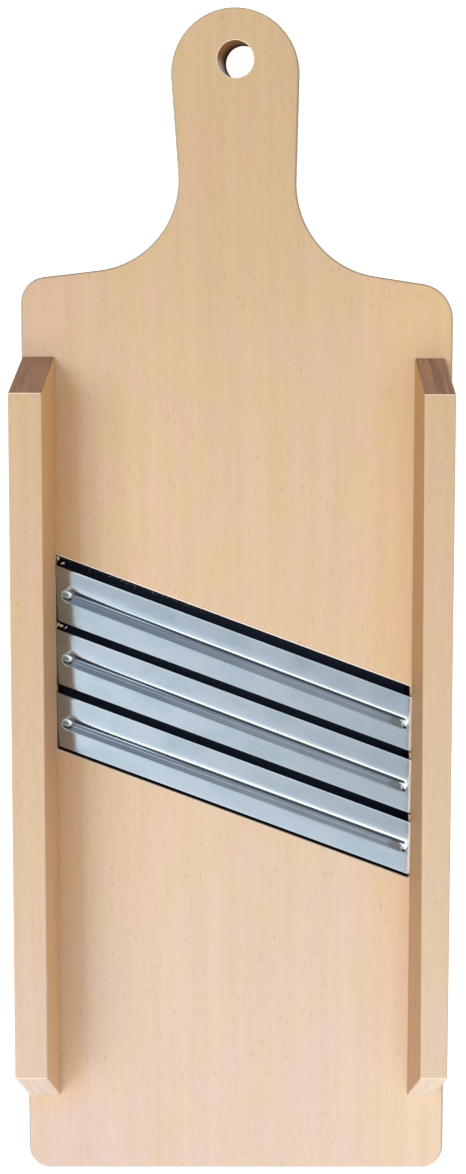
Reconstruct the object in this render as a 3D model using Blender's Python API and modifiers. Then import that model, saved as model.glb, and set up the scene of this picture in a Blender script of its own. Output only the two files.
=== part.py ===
"""Wooden cabbage shredder for Blender 4.5, in metres, +Z up.

The shredder lies on its back: the back of the board is at Z = 0, the handle points to +Y and
the origin is the middle of the part's footprint. A one-piece beech board carries two beech
guide rails. Three steel blades lie aslant in a window of the board. Each one rests with its
ends in sloping seats under the rails, where a brad holds it, and screws driven from the back
hold the rails.
"""

import math

import bmesh
import bpy
from mathutils import Matrix, Vector

# Board
BOARD_WIDTH = 0.170
BOARD_THICKNESS = 0.012
BODY_LENGTH = 0.3599
HANDLE_LENGTH = 0.1027
BOARD_EDGE_ROUND = 0.0012
FOOT_CORNER_RADIUS = 0.009

# Shoulders and handle, each side with its own values because the outline is sawn by hand
LEFT_SHOULDER_RADIUS = 0.0102
RIGHT_SHOULDER_RADIUS = 0.0140
RIGHT_SHOULDER_DROP = 0.0020
SHOULDER_FALL = 0.0023
LEFT_FLARE_RADIUS = 0.0354
RIGHT_FLARE_RADIUS = 0.0362
NECK_HALF_WIDTH = 0.0231
HEAD_RADIUS = 0.0250
HEAD_OFFSET = -0.0009

# Hanging hole: round at the front face, and bored well out of square by hand
HOLE_RADIUS = 0.0071
HOLE_FROM_HANDLE_END = 0.0199
HOLE_LEAN_SIDEWAYS = math.radians(15.0)
HOLE_LEAN_LENGTHWAYS = math.radians(25.0)

# Rails
RAIL_HEIGHT = 0.0190
RAIL_LENGTH = 0.2986
RAIL_FROM_FOOT = 0.0305
RAIL_END_SLOPE = math.radians(45.0)
RAIL_EDGE_ROUND = 0.0005
LEFT_RAIL_WIDTH = 0.0126
LEFT_RAIL_INSET = 0.0006
RIGHT_RAIL_WIDTH = 0.0119
RIGHT_RAIL_INSET = 0.0032
RIGHT_RAIL_PLANED_OFF = 0.0014

# Window and blades
WINDOW_SLOPE = math.radians(20.3)
WINDOW_TOP_FROM_FOOT = 0.2247
WINDOW_WALL_BESIDE_RIGHT_RAIL = 0.0004
BLADE_COUNT = 3
FIRST_SLOT = 0.0039
NEXT_SLOT = 0.0030
TAIL_GAP = 0.0010
BLADE_WIDTH = 0.0208
BLADE_THICKNESS = 0.0009
BLADE_TILT = math.radians(6.0)
BLADE_STAND = 0.0010
BLADE_SEAT = 0.0080
BLADE_LAND = 0.00015
BLADE_GRIND = 0.0025

# Stiffening groove pressed into each blade
GROOVE_FROM_EDGE = 0.0072
GROOVE_WIDTH = 0.0057
GROOVE_DEPTH = 0.0012
GROOVE_FROM_WALL = 0.0014

# Rail screws, driven from the back
SCREW_LENGTH = 0.025
SCREW_HEAD_RADIUS = 0.0035
SCREW_CORE_RADIUS = 0.0013
SCREW_CREST_RADIUS = 0.00175
SCREW_THREAD_PITCH = 0.0016
SCREW_THREAD_TURNS = 8
SCREW_TIP_LENGTH = 0.0025
SCREW_SINK = 0.0003
SCREW_FROM_RAIL_END = 0.0320
SCREW_FROM_BLADES = 0.0180
RECESS_DEPTH = 0.0016
RECESS_SPAN = 0.0038
RECESS_SLOT = 0.0009

# Brads that hold the blade ends
BRAD_LENGTH = 0.0080
BRAD_RADIUS = 0.0007
BRAD_HEAD_RADIUS = 0.0015
BRAD_HEAD_HEIGHT = 0.0005
BRAD_TIP_LENGTH = 0.0012
BRAD_FROM_TAIL = 0.0030

# Room between pieces that rest on, or pass through, each other
CLEARANCE = 0.0003

# Fineness of the round shapes
ARC_STEP = math.radians(9.0)
SCREW_SIDES = 16
BORE_SIDES = 24
HOLE_SIDES = 48
GROOVE_SIDES = 32
GROOVE_END_STEPS = 8
EDGE_SEGMENTS = 2
SHARP_ANGLE = math.radians(35.0)
FLAT_ANGLE = math.radians(0.5)
MERGE_DISTANCE = 0.00001
QUARTER_TURN = math.radians(90.0)

# Heights and lengths that follow from the sizes above
BOARD_LENGTH = BODY_LENGTH + HANDLE_LENGTH
FOOT_Y = -BOARD_LENGTH / 2
RAIL_BOTTOM_Z = BOARD_THICKNESS + CLEARANCE
RAIL_FOOT_Y = FOOT_Y + RAIL_FROM_FOOT
RAIL_END_RUN = RAIL_HEIGHT * math.tan(RAIL_END_SLOPE)
LEFT_RAIL_OUTER_X = -BOARD_WIDTH / 2 + LEFT_RAIL_INSET
LEFT_RAIL_INNER_X = LEFT_RAIL_OUTER_X + LEFT_RAIL_WIDTH
RIGHT_RAIL_OUTER_X = BOARD_WIDTH / 2 - RIGHT_RAIL_INSET
RIGHT_RAIL_INNER_X = RIGHT_RAIL_OUTER_X - RIGHT_RAIL_WIDTH
WINDOW_LEFT_X = LEFT_RAIL_INNER_X
WINDOW_RIGHT_X = RIGHT_RAIL_INNER_X - WINDOW_WALL_BESIDE_RIGHT_RAIL
WINDOW_TOP_Y = FOOT_Y + WINDOW_TOP_FROM_FOOT
BLADE_PLAN_WIDTH = BLADE_WIDTH * math.cos(BLADE_TILT)
BLADE_PITCH = BLADE_PLAN_WIDTH + NEXT_SLOT
WINDOW_ACROSS = FIRST_SLOT + BLADE_COUNT * BLADE_PITCH - NEXT_SLOT + TAIL_GAP
BLADE_LEFT_X = WINDOW_LEFT_X - BLADE_SEAT
BLADE_RIGHT_X = WINDOW_RIGHT_X + BLADE_SEAT
TOO_LONG = 4 * BOARD_THICKNESS


def collection_named(name):
    """A new collection in the scene."""
    collection = bpy.data.collections.new(name)
    bpy.context.scene.collection.children.link(collection)
    return collection


def material_named(name, color, roughness, metallic):
    """A plain Principled material."""
    material = bpy.data.materials.new(name)
    material.use_nodes = True
    shader = material.node_tree.nodes["Principled BSDF"]
    shader.inputs["Base Color"].default_value = (*color, 1.0)
    shader.inputs["Roughness"].default_value = roughness
    shader.inputs["Metallic"].default_value = metallic
    return material


def place_object(name, mesh, collection, matrix, material=None):
    """An object of the mesh in the collection, standing at the matrix."""
    thing = bpy.data.objects.new(name, mesh)
    collection.objects.link(thing)
    thing.matrix_world = matrix
    if material:
        mesh.materials.append(material)
    return thing


def make_cutter(thing):
    """Marks an object as a tool that only cuts or joins others."""
    thing.hide_render = True
    thing.display_type = "WIRE"
    return thing


def boolean(thing, tool, operation="DIFFERENCE"):
    """Adds an exact Boolean with the tool."""
    modifier = thing.modifiers.new(tool.name, "BOOLEAN")
    modifier.operation = operation
    modifier.solver = "EXACT"
    modifier.object = tool


def outline_mesh(name, points, height):
    """A closed prism, from a flat curve through the points, centred on its own XY plane."""
    curve = bpy.data.curves.new(name + "_outline", "CURVE")
    curve.dimensions = "2D"
    curve.fill_mode = "BOTH"
    curve.extrude = height / 2
    curve.resolution_u = 1
    spline = curve.splines.new("POLY")
    spline.points.add(len(points) - 1)
    for spline_point, (x, y) in zip(spline.points, points):
        spline_point.co = (x, y, 0.0, 1.0)
    spline.use_cyclic_u = True
    holder = bpy.data.objects.new(name + "_outline", curve)
    bpy.context.scene.collection.objects.link(holder)
    bpy.context.view_layer.update()
    seen = holder.evaluated_get(bpy.context.evaluated_depsgraph_get())
    mesh = bpy.data.meshes.new_from_object(seen)
    mesh.name = name
    bpy.data.objects.remove(holder)
    bpy.data.curves.remove(curve)
    shape = bmesh.new()
    shape.from_mesh(mesh)
    bmesh.ops.remove_doubles(shape, verts=shape.verts, dist=MERGE_DISTANCE)
    bmesh.ops.dissolve_limit(shape, angle_limit=FLAT_ANGLE, verts=shape.verts, edges=shape.edges)
    bmesh.ops.recalc_face_normals(shape, faces=shape.faces)
    shape.to_mesh(mesh)
    shape.free()
    return mesh


def box_mesh(name, low, high):
    """A box between two corners."""
    mesh = bpy.data.meshes.new(name)
    shape = bmesh.new()
    bmesh.ops.create_cube(shape, size=1.0)
    size = [high[axis] - low[axis] for axis in range(3)]
    middle = [(high[axis] + low[axis]) / 2 for axis in range(3)]
    bmesh.ops.scale(shape, vec=size, verts=shape.verts)
    bmesh.ops.translate(shape, vec=middle, verts=shape.verts)
    shape.to_mesh(mesh)
    shape.free()
    return mesh


def turned_object(name, profile, sides, collection, matrix, material=None):
    """A turned solid from a profile of (radius, height) points that runs from top to bottom."""
    mesh = bpy.data.meshes.new(name)
    shape = bmesh.new()
    corners = [shape.verts.new((radius, 0.0, height)) for radius, height in profile]
    for first, second in zip(corners, corners[1:]):
        shape.edges.new((first, second))
    shape.to_mesh(mesh)
    shape.free()
    thing = place_object(name, mesh, collection, matrix, material)
    screw = thing.modifiers.new("turn", "SCREW")
    screw.axis = "Z"
    screw.steps = sides
    screw.render_steps = sides
    screw.use_merge_vertices = True
    screw.merge_threshold = MERGE_DISTANCE
    screw.use_smooth_shade = True
    return thing


def belt_outline(circles):
    """Points of a closed outline that wraps round circles of (x, y, radius, bulge).

    The circles are named anticlockwise. A bulge of 1 is an outer corner and -1 is a hollow one.
    Straight stretches join one arc to the next where both are tangent to them.
    """
    headings = []
    for here, there in zip(circles, circles[1:] + circles[:1]):
        across = Vector((there[0] - here[0], there[1] - here[1]))
        swing = (there[2] * there[3] - here[2] * here[3]) / across.length
        headings.append(math.atan2(across.y, across.x) - math.asin(swing))
    points = []
    for index, (x, y, radius, bulge) in enumerate(circles):
        arriving = headings[index - 1]
        sweep = bulge * ((bulge * (headings[index] - arriving)) % (2 * math.pi))
        steps = max(2, math.ceil(abs(sweep) / ARC_STEP))
        for step in range(steps + 1):
            heading = arriving + sweep * step / steps
            reach = radius * bulge
            points.append((x + reach * math.sin(heading), y - reach * math.cos(heading)))
    return points


def board_outline():
    """The board's outline, from the foot corners round the handle's head."""
    half = BOARD_WIDTH / 2
    left_shoulder_y = FOOT_Y + BODY_LENGTH
    right_shoulder_y = left_shoulder_y - RIGHT_SHOULDER_DROP
    return belt_outline([
        (-half + FOOT_CORNER_RADIUS, FOOT_Y + FOOT_CORNER_RADIUS, FOOT_CORNER_RADIUS, 1),
        (half - FOOT_CORNER_RADIUS, FOOT_Y + FOOT_CORNER_RADIUS, FOOT_CORNER_RADIUS, 1),
        (half - RIGHT_SHOULDER_RADIUS, right_shoulder_y - RIGHT_SHOULDER_RADIUS,
         RIGHT_SHOULDER_RADIUS, 1),
        (NECK_HALF_WIDTH + RIGHT_FLARE_RADIUS,
         right_shoulder_y + SHOULDER_FALL + RIGHT_FLARE_RADIUS, RIGHT_FLARE_RADIUS, -1),
        (HEAD_OFFSET, FOOT_Y + BOARD_LENGTH - HEAD_RADIUS, HEAD_RADIUS, 1),
        (-NECK_HALF_WIDTH - LEFT_FLARE_RADIUS,
         left_shoulder_y + SHOULDER_FALL + LEFT_FLARE_RADIUS, LEFT_FLARE_RADIUS, -1),
        (-half + LEFT_SHOULDER_RADIUS, left_shoulder_y - LEFT_SHOULDER_RADIUS,
         LEFT_SHOULDER_RADIUS, 1),
    ])


def round_edges(thing, width):
    """Rounds the object's sharp edges."""
    bevel = thing.modifiers.new("round_edges", "BEVEL")
    bevel.width = width
    bevel.segments = EDGE_SEGMENTS
    bevel.limit_method = "ANGLE"
    bevel.angle_limit = SHARP_ANGLE


def blade_matrix(index):
    """Blade frame: origin on the top of the cutting edge, X along it, Y out past it, Z up."""
    middle_x = (WINDOW_LEFT_X + WINDOW_RIGHT_X) / 2
    down_the_slope = (FIRST_SLOT + index * BLADE_PITCH) / math.cos(WINDOW_SLOPE)
    edge_y = WINDOW_TOP_Y - middle_x * math.tan(WINDOW_SLOPE) - down_the_slope
    place = Matrix.Translation((middle_x, edge_y, BOARD_THICKNESS + BLADE_STAND))
    return place @ Matrix.Rotation(-WINDOW_SLOPE, 4, "Z") @ Matrix.Rotation(BLADE_TILT, 4, "X")


def blade_x(board_x, across):
    """Place along a blade's own X axis of the point that is over board_x, across its width."""
    middle_x = (WINDOW_LEFT_X + WINDOW_RIGHT_X) / 2
    sideways = across * math.sin(WINDOW_SLOPE) * math.cos(BLADE_TILT)
    return (board_x - middle_x - sideways) / math.cos(WINDOW_SLOPE)


def strip_mesh(name, section, left_x, right_x):
    """A blade-shaped strip in the blade frame, with its ends parallel to the board's sides."""
    mesh = outline_mesh(name, section, BOARD_WIDTH)
    mesh.transform(Matrix.Rotation(QUARTER_TURN, 4, "Z") @ Matrix.Rotation(QUARTER_TURN, 4, "X"))
    for vertex in mesh.vertices:
        end_x = left_x if vertex.co.x < 0 else right_x
        vertex.co.x = blade_x(end_x, vertex.co.y)
    return mesh


def frozen_mesh(thing):
    """The object's mesh with its modifiers applied; the object itself is removed."""
    bpy.context.view_layer.update()
    seen = thing.evaluated_get(bpy.context.evaluated_depsgraph_get())
    mesh = bpy.data.meshes.new_from_object(seen)
    mesh.name = thing.name
    bpy.data.objects.remove(thing)
    return mesh


def capsule_cutter(name, radius, axis_height, cutters):
    """A round-ended bar that runs along a blade's groove, in the blade frame."""
    across = -GROOVE_FROM_EDGE - GROOVE_WIDTH / 2
    groove_half_width = GROOVE_WIDTH / 2
    left_end = blade_x(WINDOW_LEFT_X + GROOVE_FROM_WALL, across) + groove_half_width
    right_end = blade_x(WINDOW_RIGHT_X - GROOVE_FROM_WALL, across) - groove_half_width
    half_length = (right_end - left_end) / 2
    turns = [QUARTER_TURN * step / GROOVE_END_STEPS for step in range(GROOVE_END_STEPS + 1)]
    upper = [(radius * math.sin(turn), half_length + radius * math.cos(turn)) for turn in turns]
    lower = [(reach, -height) for reach, height in reversed(upper)]
    matrix = Matrix.Translation(((left_end + right_end) / 2, across, axis_height))
    matrix = matrix @ Matrix.Rotation(QUARTER_TURN, 4, "Y")
    return make_cutter(turned_object(name, upper + lower, GROOVE_SIDES, cutters, matrix))


def blade_mesh(cutters):
    """One blade in the blade frame: a ground strip with a pressed groove and two brad holes."""
    section = [
        (0.0, 0.0),
        (-BLADE_WIDTH, 0.0),
        (-BLADE_WIDTH, -BLADE_THICKNESS),
        (-BLADE_GRIND, -BLADE_THICKNESS),
        (0.0, -BLADE_LAND),
    ]
    strip = strip_mesh("blade_strip", section, BLADE_LEFT_X, BLADE_RIGHT_X)
    blade = place_object("blade_template", strip, cutters, Matrix.Identity(4))
    groove_radius = (GROOVE_WIDTH ** 2 / 4 + GROOVE_DEPTH ** 2) / (2 * GROOVE_DEPTH)
    axis_height = groove_radius - GROOVE_DEPTH
    rib = capsule_cutter("rib", groove_radius + BLADE_THICKNESS, axis_height, cutters)
    reach = blade_x(BLADE_RIGHT_X, 0.0)
    low = (-reach, -BLADE_WIDTH, -TOO_LONG)
    high = (reach, 0.0, -BLADE_THICKNESS / 2)
    below = place_object("rib_side", box_mesh("rib_side", low, high), cutters, Matrix.Identity(4))
    boolean(rib, make_cutter(below), "INTERSECT")
    boolean(blade, rib, "UNION")
    boolean(blade, capsule_cutter("groove", groove_radius, axis_height, cutters))
    for x, y in brad_places():
        profile = [(0.0, TOO_LONG), (BRAD_RADIUS + CLEARANCE, TOO_LONG),
                   (BRAD_RADIUS + CLEARANCE, -TOO_LONG), (0.0, -TOO_LONG)]
        matrix = Matrix.Translation((x, y, 0.0))
        hole = turned_object("brad_hole", profile, SCREW_SIDES, cutters, matrix)
        boolean(blade, make_cutter(hole))
    return frozen_mesh(blade)


def brad_places():
    """Where the brads go through a blade's two ends, in the blade frame."""
    across = BRAD_FROM_TAIL - BLADE_WIDTH
    left_x = WINDOW_LEFT_X - BLADE_SEAT / 2
    right_x = WINDOW_RIGHT_X + BLADE_SEAT / 2
    return [(blade_x(left_x, across), across), (blade_x(right_x, across), across)]


def brad_mesh(cutters):
    """One brad; its head rests on the blade's face at height zero and its tip points down."""
    head_bottom = CLEARANCE
    head_top = CLEARANCE + BRAD_HEAD_HEIGHT
    profile = [
        (0.0, head_top),
        (BRAD_HEAD_RADIUS, head_top),
        (BRAD_HEAD_RADIUS, head_bottom),
        (BRAD_RADIUS, head_bottom),
        (BRAD_RADIUS, head_bottom - BRAD_LENGTH + BRAD_TIP_LENGTH),
        (0.0, head_bottom - BRAD_LENGTH),
    ]
    return frozen_mesh(turned_object("brad", profile, SCREW_SIDES, cutters, Matrix.Identity(4)))


def brad_bore(cutters, matrix):
    """The bore for a brad, from the seat under the blade to just past the brad's tip."""
    radius = BRAD_RADIUS + CLEARANCE
    depth = BRAD_LENGTH
    profile = [(0.0, CLEARANCE), (radius, CLEARANCE), (radius, -depth), (0.0, -depth)]
    return make_cutter(turned_object("brad_bore", profile, SCREW_SIDES, cutters, matrix))


def screw_mesh(cutters):
    """One countersunk wood screw with its head's face at height zero and its tip up."""
    head_rim = SCREW_SINK
    head_height = head_rim + SCREW_HEAD_RADIUS - SCREW_CREST_RADIUS
    profile = [(0.0, SCREW_LENGTH), (SCREW_CORE_RADIUS, SCREW_LENGTH - SCREW_TIP_LENGTH)]
    for turn in range(SCREW_THREAD_TURNS):
        thread_top = SCREW_LENGTH - SCREW_TIP_LENGTH - turn * SCREW_THREAD_PITCH
        profile.append((SCREW_CREST_RADIUS, thread_top - SCREW_THREAD_PITCH / 2))
        profile.append((SCREW_CORE_RADIUS, thread_top - SCREW_THREAD_PITCH))
    profile += [
        (SCREW_CREST_RADIUS, profile[-1][1] - SCREW_THREAD_PITCH / 2),
        (SCREW_CREST_RADIUS, head_height),
        (SCREW_HEAD_RADIUS, head_rim),
        (SCREW_HEAD_RADIUS, 0.0),
        (0.0, 0.0),
    ]
    screw = turned_object("screw", profile, SCREW_SIDES, cutters, Matrix.Identity(4))
    low = (-RECESS_SPAN / 2, -RECESS_SLOT / 2, -RECESS_DEPTH)
    high = (RECESS_SPAN / 2, RECESS_SLOT / 2, RECESS_DEPTH)
    for turn in (0.0, QUARTER_TURN):
        slot = box_mesh("recess", low, high)
        matrix = Matrix.Rotation(turn, 4, "Z")
        boolean(screw, make_cutter(place_object("recess", slot, cutters, matrix)))
    return frozen_mesh(screw)


def screw_bore(cutters, matrix):
    """The countersunk bore for a screw, through the board and up into the rail."""
    head_height = SCREW_SINK + SCREW_HEAD_RADIUS - SCREW_CREST_RADIUS
    profile = [
        (0.0, SCREW_LENGTH + CLEARANCE),
        (SCREW_CREST_RADIUS + CLEARANCE, SCREW_LENGTH + CLEARANCE),
        (SCREW_CREST_RADIUS + CLEARANCE, head_height),
        (SCREW_HEAD_RADIUS + CLEARANCE, SCREW_SINK),
        (SCREW_HEAD_RADIUS + CLEARANCE, -TOO_LONG),
        (0.0, -TOO_LONG),
    ]
    return make_cutter(turned_object("screw_bore", profile, BORE_SIDES, cutters, matrix))


def window_top(x):
    """Height along the board of the window's upper edge at x."""
    return WINDOW_TOP_Y - x * math.tan(WINDOW_SLOPE)


def window_bottom(x):
    """Height along the board of the window's lower edge at x."""
    return window_top(x) - WINDOW_ACROSS / math.cos(WINDOW_SLOPE)


def screw_places():
    """The places of the screws along each rail, clear of the blade ends."""
    foot_screw = RAIL_FOOT_Y + SCREW_FROM_RAIL_END
    head_screw = RAIL_FOOT_Y + RAIL_LENGTH - SCREW_FROM_RAIL_END
    left_x = (LEFT_RAIL_OUTER_X + LEFT_RAIL_INNER_X) / 2
    right_x = (RIGHT_RAIL_OUTER_X + RIGHT_RAIL_INNER_X) / 2
    left_middle = window_bottom(WINDOW_LEFT_X) - SCREW_FROM_BLADES
    right_middle = window_top(WINDOW_RIGHT_X) + SCREW_FROM_BLADES
    return {
        "left": [(left_x, foot_screw), (left_x, left_middle), (left_x, head_screw)],
        "right": [(right_x, foot_screw), (right_x, right_middle), (right_x, head_screw)],
    }


def rail_mesh(name, inner_x, outer_x, planed_off):
    """A rail with both ends sawn to a slope; the inner front edge is planed off at the foot."""
    mesh = bpy.data.meshes.new(name)
    shape = bmesh.new()
    bmesh.ops.create_cube(shape, size=1.0)
    planed_x = inner_x + math.copysign(planed_off, outer_x - inner_x)
    for corner in shape.verts:
        at_foot = corner.co.y < 0
        at_front = corner.co.z > 0
        at_inner_side = (corner.co.x > 0) == (inner_x > outer_x)
        shorter = RAIL_END_RUN if at_front else 0.0
        y = RAIL_FOOT_Y + shorter if at_foot else RAIL_FOOT_Y + RAIL_LENGTH - shorter
        side_x = planed_x if at_foot and at_front else inner_x
        z = RAIL_BOTTOM_Z + RAIL_HEIGHT if at_front else RAIL_BOTTOM_Z
        corner.co = (side_x if at_inner_side else outer_x, y, z)
    shape.to_mesh(mesh)
    shape.free()
    return mesh


def seat_section(top):
    """Section of the room that a blade's end takes, up to a height above the blade's face."""
    front = CLEARANCE
    back = -BLADE_WIDTH - CLEARANCE
    bottom = -BLADE_THICKNESS - CLEARANCE
    return [(front, top), (back, top), (back, bottom), (front, bottom)]


def seat_cutter(name, index, top, cutters):
    """The room for one blade's ends, on both sides of the window."""
    ends = (BLADE_LEFT_X - CLEARANCE, BLADE_RIGHT_X + CLEARANCE)
    mesh = strip_mesh(name, seat_section(top), *ends)
    return make_cutter(place_object(name, mesh, cutters, blade_matrix(index)))


def hanging_hole(cutters):
    """A round bar, sheared so that it leaves the leaning hole in the handle's head."""
    profile = [(0.0, TOO_LONG), (HOLE_RADIUS, TOO_LONG), (HOLE_RADIUS, -TOO_LONG), (0.0, -TOO_LONG)]
    upright = turned_object("hanging_hole", profile, HOLE_SIDES, cutters, Matrix.Identity(4))
    bar = frozen_mesh(upright)
    lean = Matrix.Identity(4)
    lean[0][2] = -math.tan(HOLE_LEAN_SIDEWAYS)
    lean[1][2] = -math.tan(HOLE_LEAN_LENGTHWAYS)
    bar.transform(lean)
    front = Vector((HEAD_OFFSET, FOOT_Y + BOARD_LENGTH - HOLE_FROM_HANDLE_END, BOARD_THICKNESS))
    return make_cutter(place_object("hanging_hole", bar, cutters, Matrix.Translation(front)))


def window_cutter(cutters):
    """The slanting window, right through the board."""
    corners = [
        (WINDOW_LEFT_X, window_bottom(WINDOW_LEFT_X)),
        (WINDOW_RIGHT_X, window_bottom(WINDOW_RIGHT_X)),
        (WINDOW_RIGHT_X, window_top(WINDOW_RIGHT_X)),
        (WINDOW_LEFT_X, window_top(WINDOW_LEFT_X)),
    ]
    mesh = outline_mesh("window", corners, TOO_LONG)
    middle = Matrix.Translation((0.0, 0.0, BOARD_THICKNESS / 2))
    return make_cutter(place_object("window", mesh, cutters, middle))


def build():
    """Models the whole shredder."""
    for thing in list(bpy.data.objects):
        bpy.data.objects.remove(thing)
    parts = collection_named("cabbage_shredder")
    cutters = collection_named("cutters")
    beech = material_named("beech_board", (0.68, 0.48, 0.31), 0.55, 0.0)
    rail_beech = material_named("beech_rail", (0.70, 0.50, 0.32), 0.55, 0.0)
    blade_steel = material_named("blade_steel", (0.62, 0.66, 0.71), 0.25, 1.0)
    fastener_steel = material_named("fastener_steel", (0.60, 0.58, 0.52), 0.35, 1.0)

    middle = Matrix.Translation((0.0, 0.0, BOARD_THICKNESS / 2))
    outline = outline_mesh("board", board_outline(), BOARD_THICKNESS)
    board = place_object("board", outline, parts, middle, beech)
    round_edges(board, BOARD_EDGE_ROUND)
    boolean(board, window_cutter(cutters))
    boolean(board, hanging_hole(cutters))

    rails = {}
    for side, inner_x, outer_x, planed_off in (
        ("left", LEFT_RAIL_INNER_X, LEFT_RAIL_OUTER_X, 0.0),
        ("right", RIGHT_RAIL_INNER_X, RIGHT_RAIL_OUTER_X, RIGHT_RAIL_PLANED_OFF),
    ):
        name = side + "_rail"
        mesh = rail_mesh(name, inner_x, outer_x, planed_off)
        rails[side] = place_object(name, mesh, parts, Matrix.Identity(4), rail_beech)
        round_edges(rails[side], RAIL_EDGE_ROUND)

    blade = blade_mesh(cutters)
    blade.materials.append(blade_steel)
    brad = brad_mesh(cutters)
    brad.materials.append(fastener_steel)
    for index in range(BLADE_COUNT):
        label = f"blade_{index + 1}"
        place = blade_matrix(index)
        place_object(label, blade, parts, place)
        boolean(board, seat_cutter(label + "_seat", index, TOO_LONG, cutters))
        notch = seat_cutter(label + "_notch", index, CLEARANCE, cutters)
        boolean(rails["left"], notch)
        boolean(rails["right"], notch)
        for side, (x, y) in zip(("left", "right"), brad_places()):
            brad_place = place @ Matrix.Translation((x, y, 0.0))
            place_object(f"{label}_{side}_brad", brad, parts, brad_place)
            boolean(board, brad_bore(cutters, brad_place))

    screw = screw_mesh(cutters)
    screw.materials.append(fastener_steel)
    for side, places in screw_places().items():
        for where, (x, y) in zip(("foot", "middle", "head"), places):
            matrix = Matrix.Translation((x, y, SCREW_SINK))
            place_object(f"{side}_rail_{where}_screw", screw, parts, matrix)
            bore = screw_bore(cutters, matrix)
            boolean(board, bore)
            boolean(rails[side], bore)

    holder = bpy.data.objects.new("shredder_origin", None)
    parts.objects.link(holder)
    for thing in parts.objects:
        if thing.type == "MESH":
            thing.parent = holder


build()
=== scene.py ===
"""Looks of a wooden cabbage shredder: sanded beech, rolled blade steel and plated fasteners.

Metres, +Z up. The board lies on its back with the handle towards +Y, and the camera looks down
on it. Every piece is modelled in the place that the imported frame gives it.
"""

import math
import random

import bmesh
import bpy
from mathutils import Matrix, Vector, noise


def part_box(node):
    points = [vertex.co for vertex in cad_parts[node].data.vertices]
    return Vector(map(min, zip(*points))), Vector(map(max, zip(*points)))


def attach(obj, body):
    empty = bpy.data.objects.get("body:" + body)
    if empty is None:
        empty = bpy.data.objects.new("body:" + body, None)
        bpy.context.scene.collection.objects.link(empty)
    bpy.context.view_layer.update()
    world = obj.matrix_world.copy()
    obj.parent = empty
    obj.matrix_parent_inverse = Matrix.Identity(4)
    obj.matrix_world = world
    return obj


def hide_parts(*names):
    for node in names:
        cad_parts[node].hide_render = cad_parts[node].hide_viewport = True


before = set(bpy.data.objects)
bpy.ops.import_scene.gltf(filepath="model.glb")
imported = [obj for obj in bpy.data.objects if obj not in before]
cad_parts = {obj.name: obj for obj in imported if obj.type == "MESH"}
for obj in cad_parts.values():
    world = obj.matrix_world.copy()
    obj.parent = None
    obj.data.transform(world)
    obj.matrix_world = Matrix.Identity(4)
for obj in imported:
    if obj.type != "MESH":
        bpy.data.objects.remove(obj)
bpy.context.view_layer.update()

# Places that the frame gives
BOARD_LOW, BOARD_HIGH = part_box("board")
LEFT_RAIL_LOW, LEFT_RAIL_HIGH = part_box("left_rail")
RIGHT_RAIL_LOW, RIGHT_RAIL_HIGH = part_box("right_rail")
BOARD_TOP = BOARD_HIGH.z
HALF_WIDTH = BOARD_HIGH.x
FOOT_Y = BOARD_LOW.y
HANDLE_END_Y = BOARD_HIGH.y

# Outline of the board
HANDLE_LENGTH = 0.1027
BOARD_EDGE_ROUND = 0.0012
FOOT_CORNER_RADIUS = 0.009
LEFT_SHOULDER_RADIUS = 0.0102
RIGHT_SHOULDER_RADIUS = 0.0140
RIGHT_SHOULDER_DROP = 0.0020
SHOULDER_FALL = 0.0023
LEFT_FLARE_RADIUS = 0.0354
RIGHT_FLARE_RADIUS = 0.0362
NECK_HALF_WIDTH = 0.0231
HEAD_RADIUS = 0.0250
HEAD_OFFSET = -0.0009
ARC_STEP = math.radians(3.0)

# Hanging hole
HOLE_RADIUS = 0.0071
HOLE_FROM_HANDLE_END = 0.0199
HOLE_LEAN_SIDEWAYS = math.radians(15.0)
HOLE_LEAN_LENGTHWAYS = math.radians(25.0)
HOLE_RIM_ROUND = 0.00045

# Rails
RAIL_END_SLOPE = math.radians(45.0)
RAIL_EDGE_ROUND = 0.0005
RIGHT_RAIL_PLANED_OFF = 0.0014

# Window and blades
WINDOW_SLOPE = math.radians(20.3)
WINDOW_TOP_FROM_FOOT = 0.2247
WINDOW_WALL_BESIDE_RIGHT_RAIL = 0.0004
WINDOW_RIM_ROUND = 0.00045
BLADE_COUNT = 3
FIRST_SLOT = 0.0039
NEXT_SLOT = 0.0030
TAIL_GAP = 0.0010
BLADE_WIDTH = 0.0208
BLADE_THICKNESS = 0.0009
BLADE_TILT = math.radians(6.0)
BLADE_STAND = 0.0010
BLADE_SEAT = 0.0080
BLADE_LAND = 0.00015
BLADE_GRIND = 0.0025

# Groove pressed into each blade, as (distance from the cutting edge, depth) points of its section.
# The upper side rolls over softly and drops steeply to a narrow bottom; the lower side rises
# gently and has a crease half way. The groove runs a little askew, and its ends are blunt.
GROOVE_UPPER_SIDE = [
    (0.0048, 0.0),
    (0.0062, 0.00003),
    (0.0070, 0.00010),
    (0.0076, 0.00020),
    (0.0080, 0.00033),
    (0.0084, 0.00053),
    (0.0088, 0.00074),
    (0.0092, 0.00095),
]
GROOVE_LOWER_SIDE = [
    (0.0092, 0.00095),
    (0.0095, 0.00096),
    (0.0101, 0.00078),
    (0.0104, 0.00067),
    (0.0107, 0.00065),
    (0.0109, 0.00060),
    (0.01205, 0.00014),
    (0.01245, 0.00003),
    (0.01275, 0.0),
]
GROOVE_SHIFTS = (0.00024, 0.00046, 0.00055)
GROOVE_SKEWS = (0.0073, 0.0077, -0.0014)

# The dark crease in the groove, a painted dark reflection and painted shade on its steep wall, as
# distances from the cutting edge. It starts earlier at the left and ends later from the middle on,
# and each of them changes over a stretch along the blade.
CREASE_START = 0.0081
CREASE_END = 0.0089
CREASE_SOFT = 0.0003
CREASE_COVER = 0.96
CREASE_TONE = 0.02
CREASE_WEDGE = 0.0010
CREASE_WEDGE_ALONG = (-0.078, -0.035)
CREASE_SPREAD = 0.0004
CREASE_SPREAD_ALONG = (-0.045, -0.010)

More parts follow.
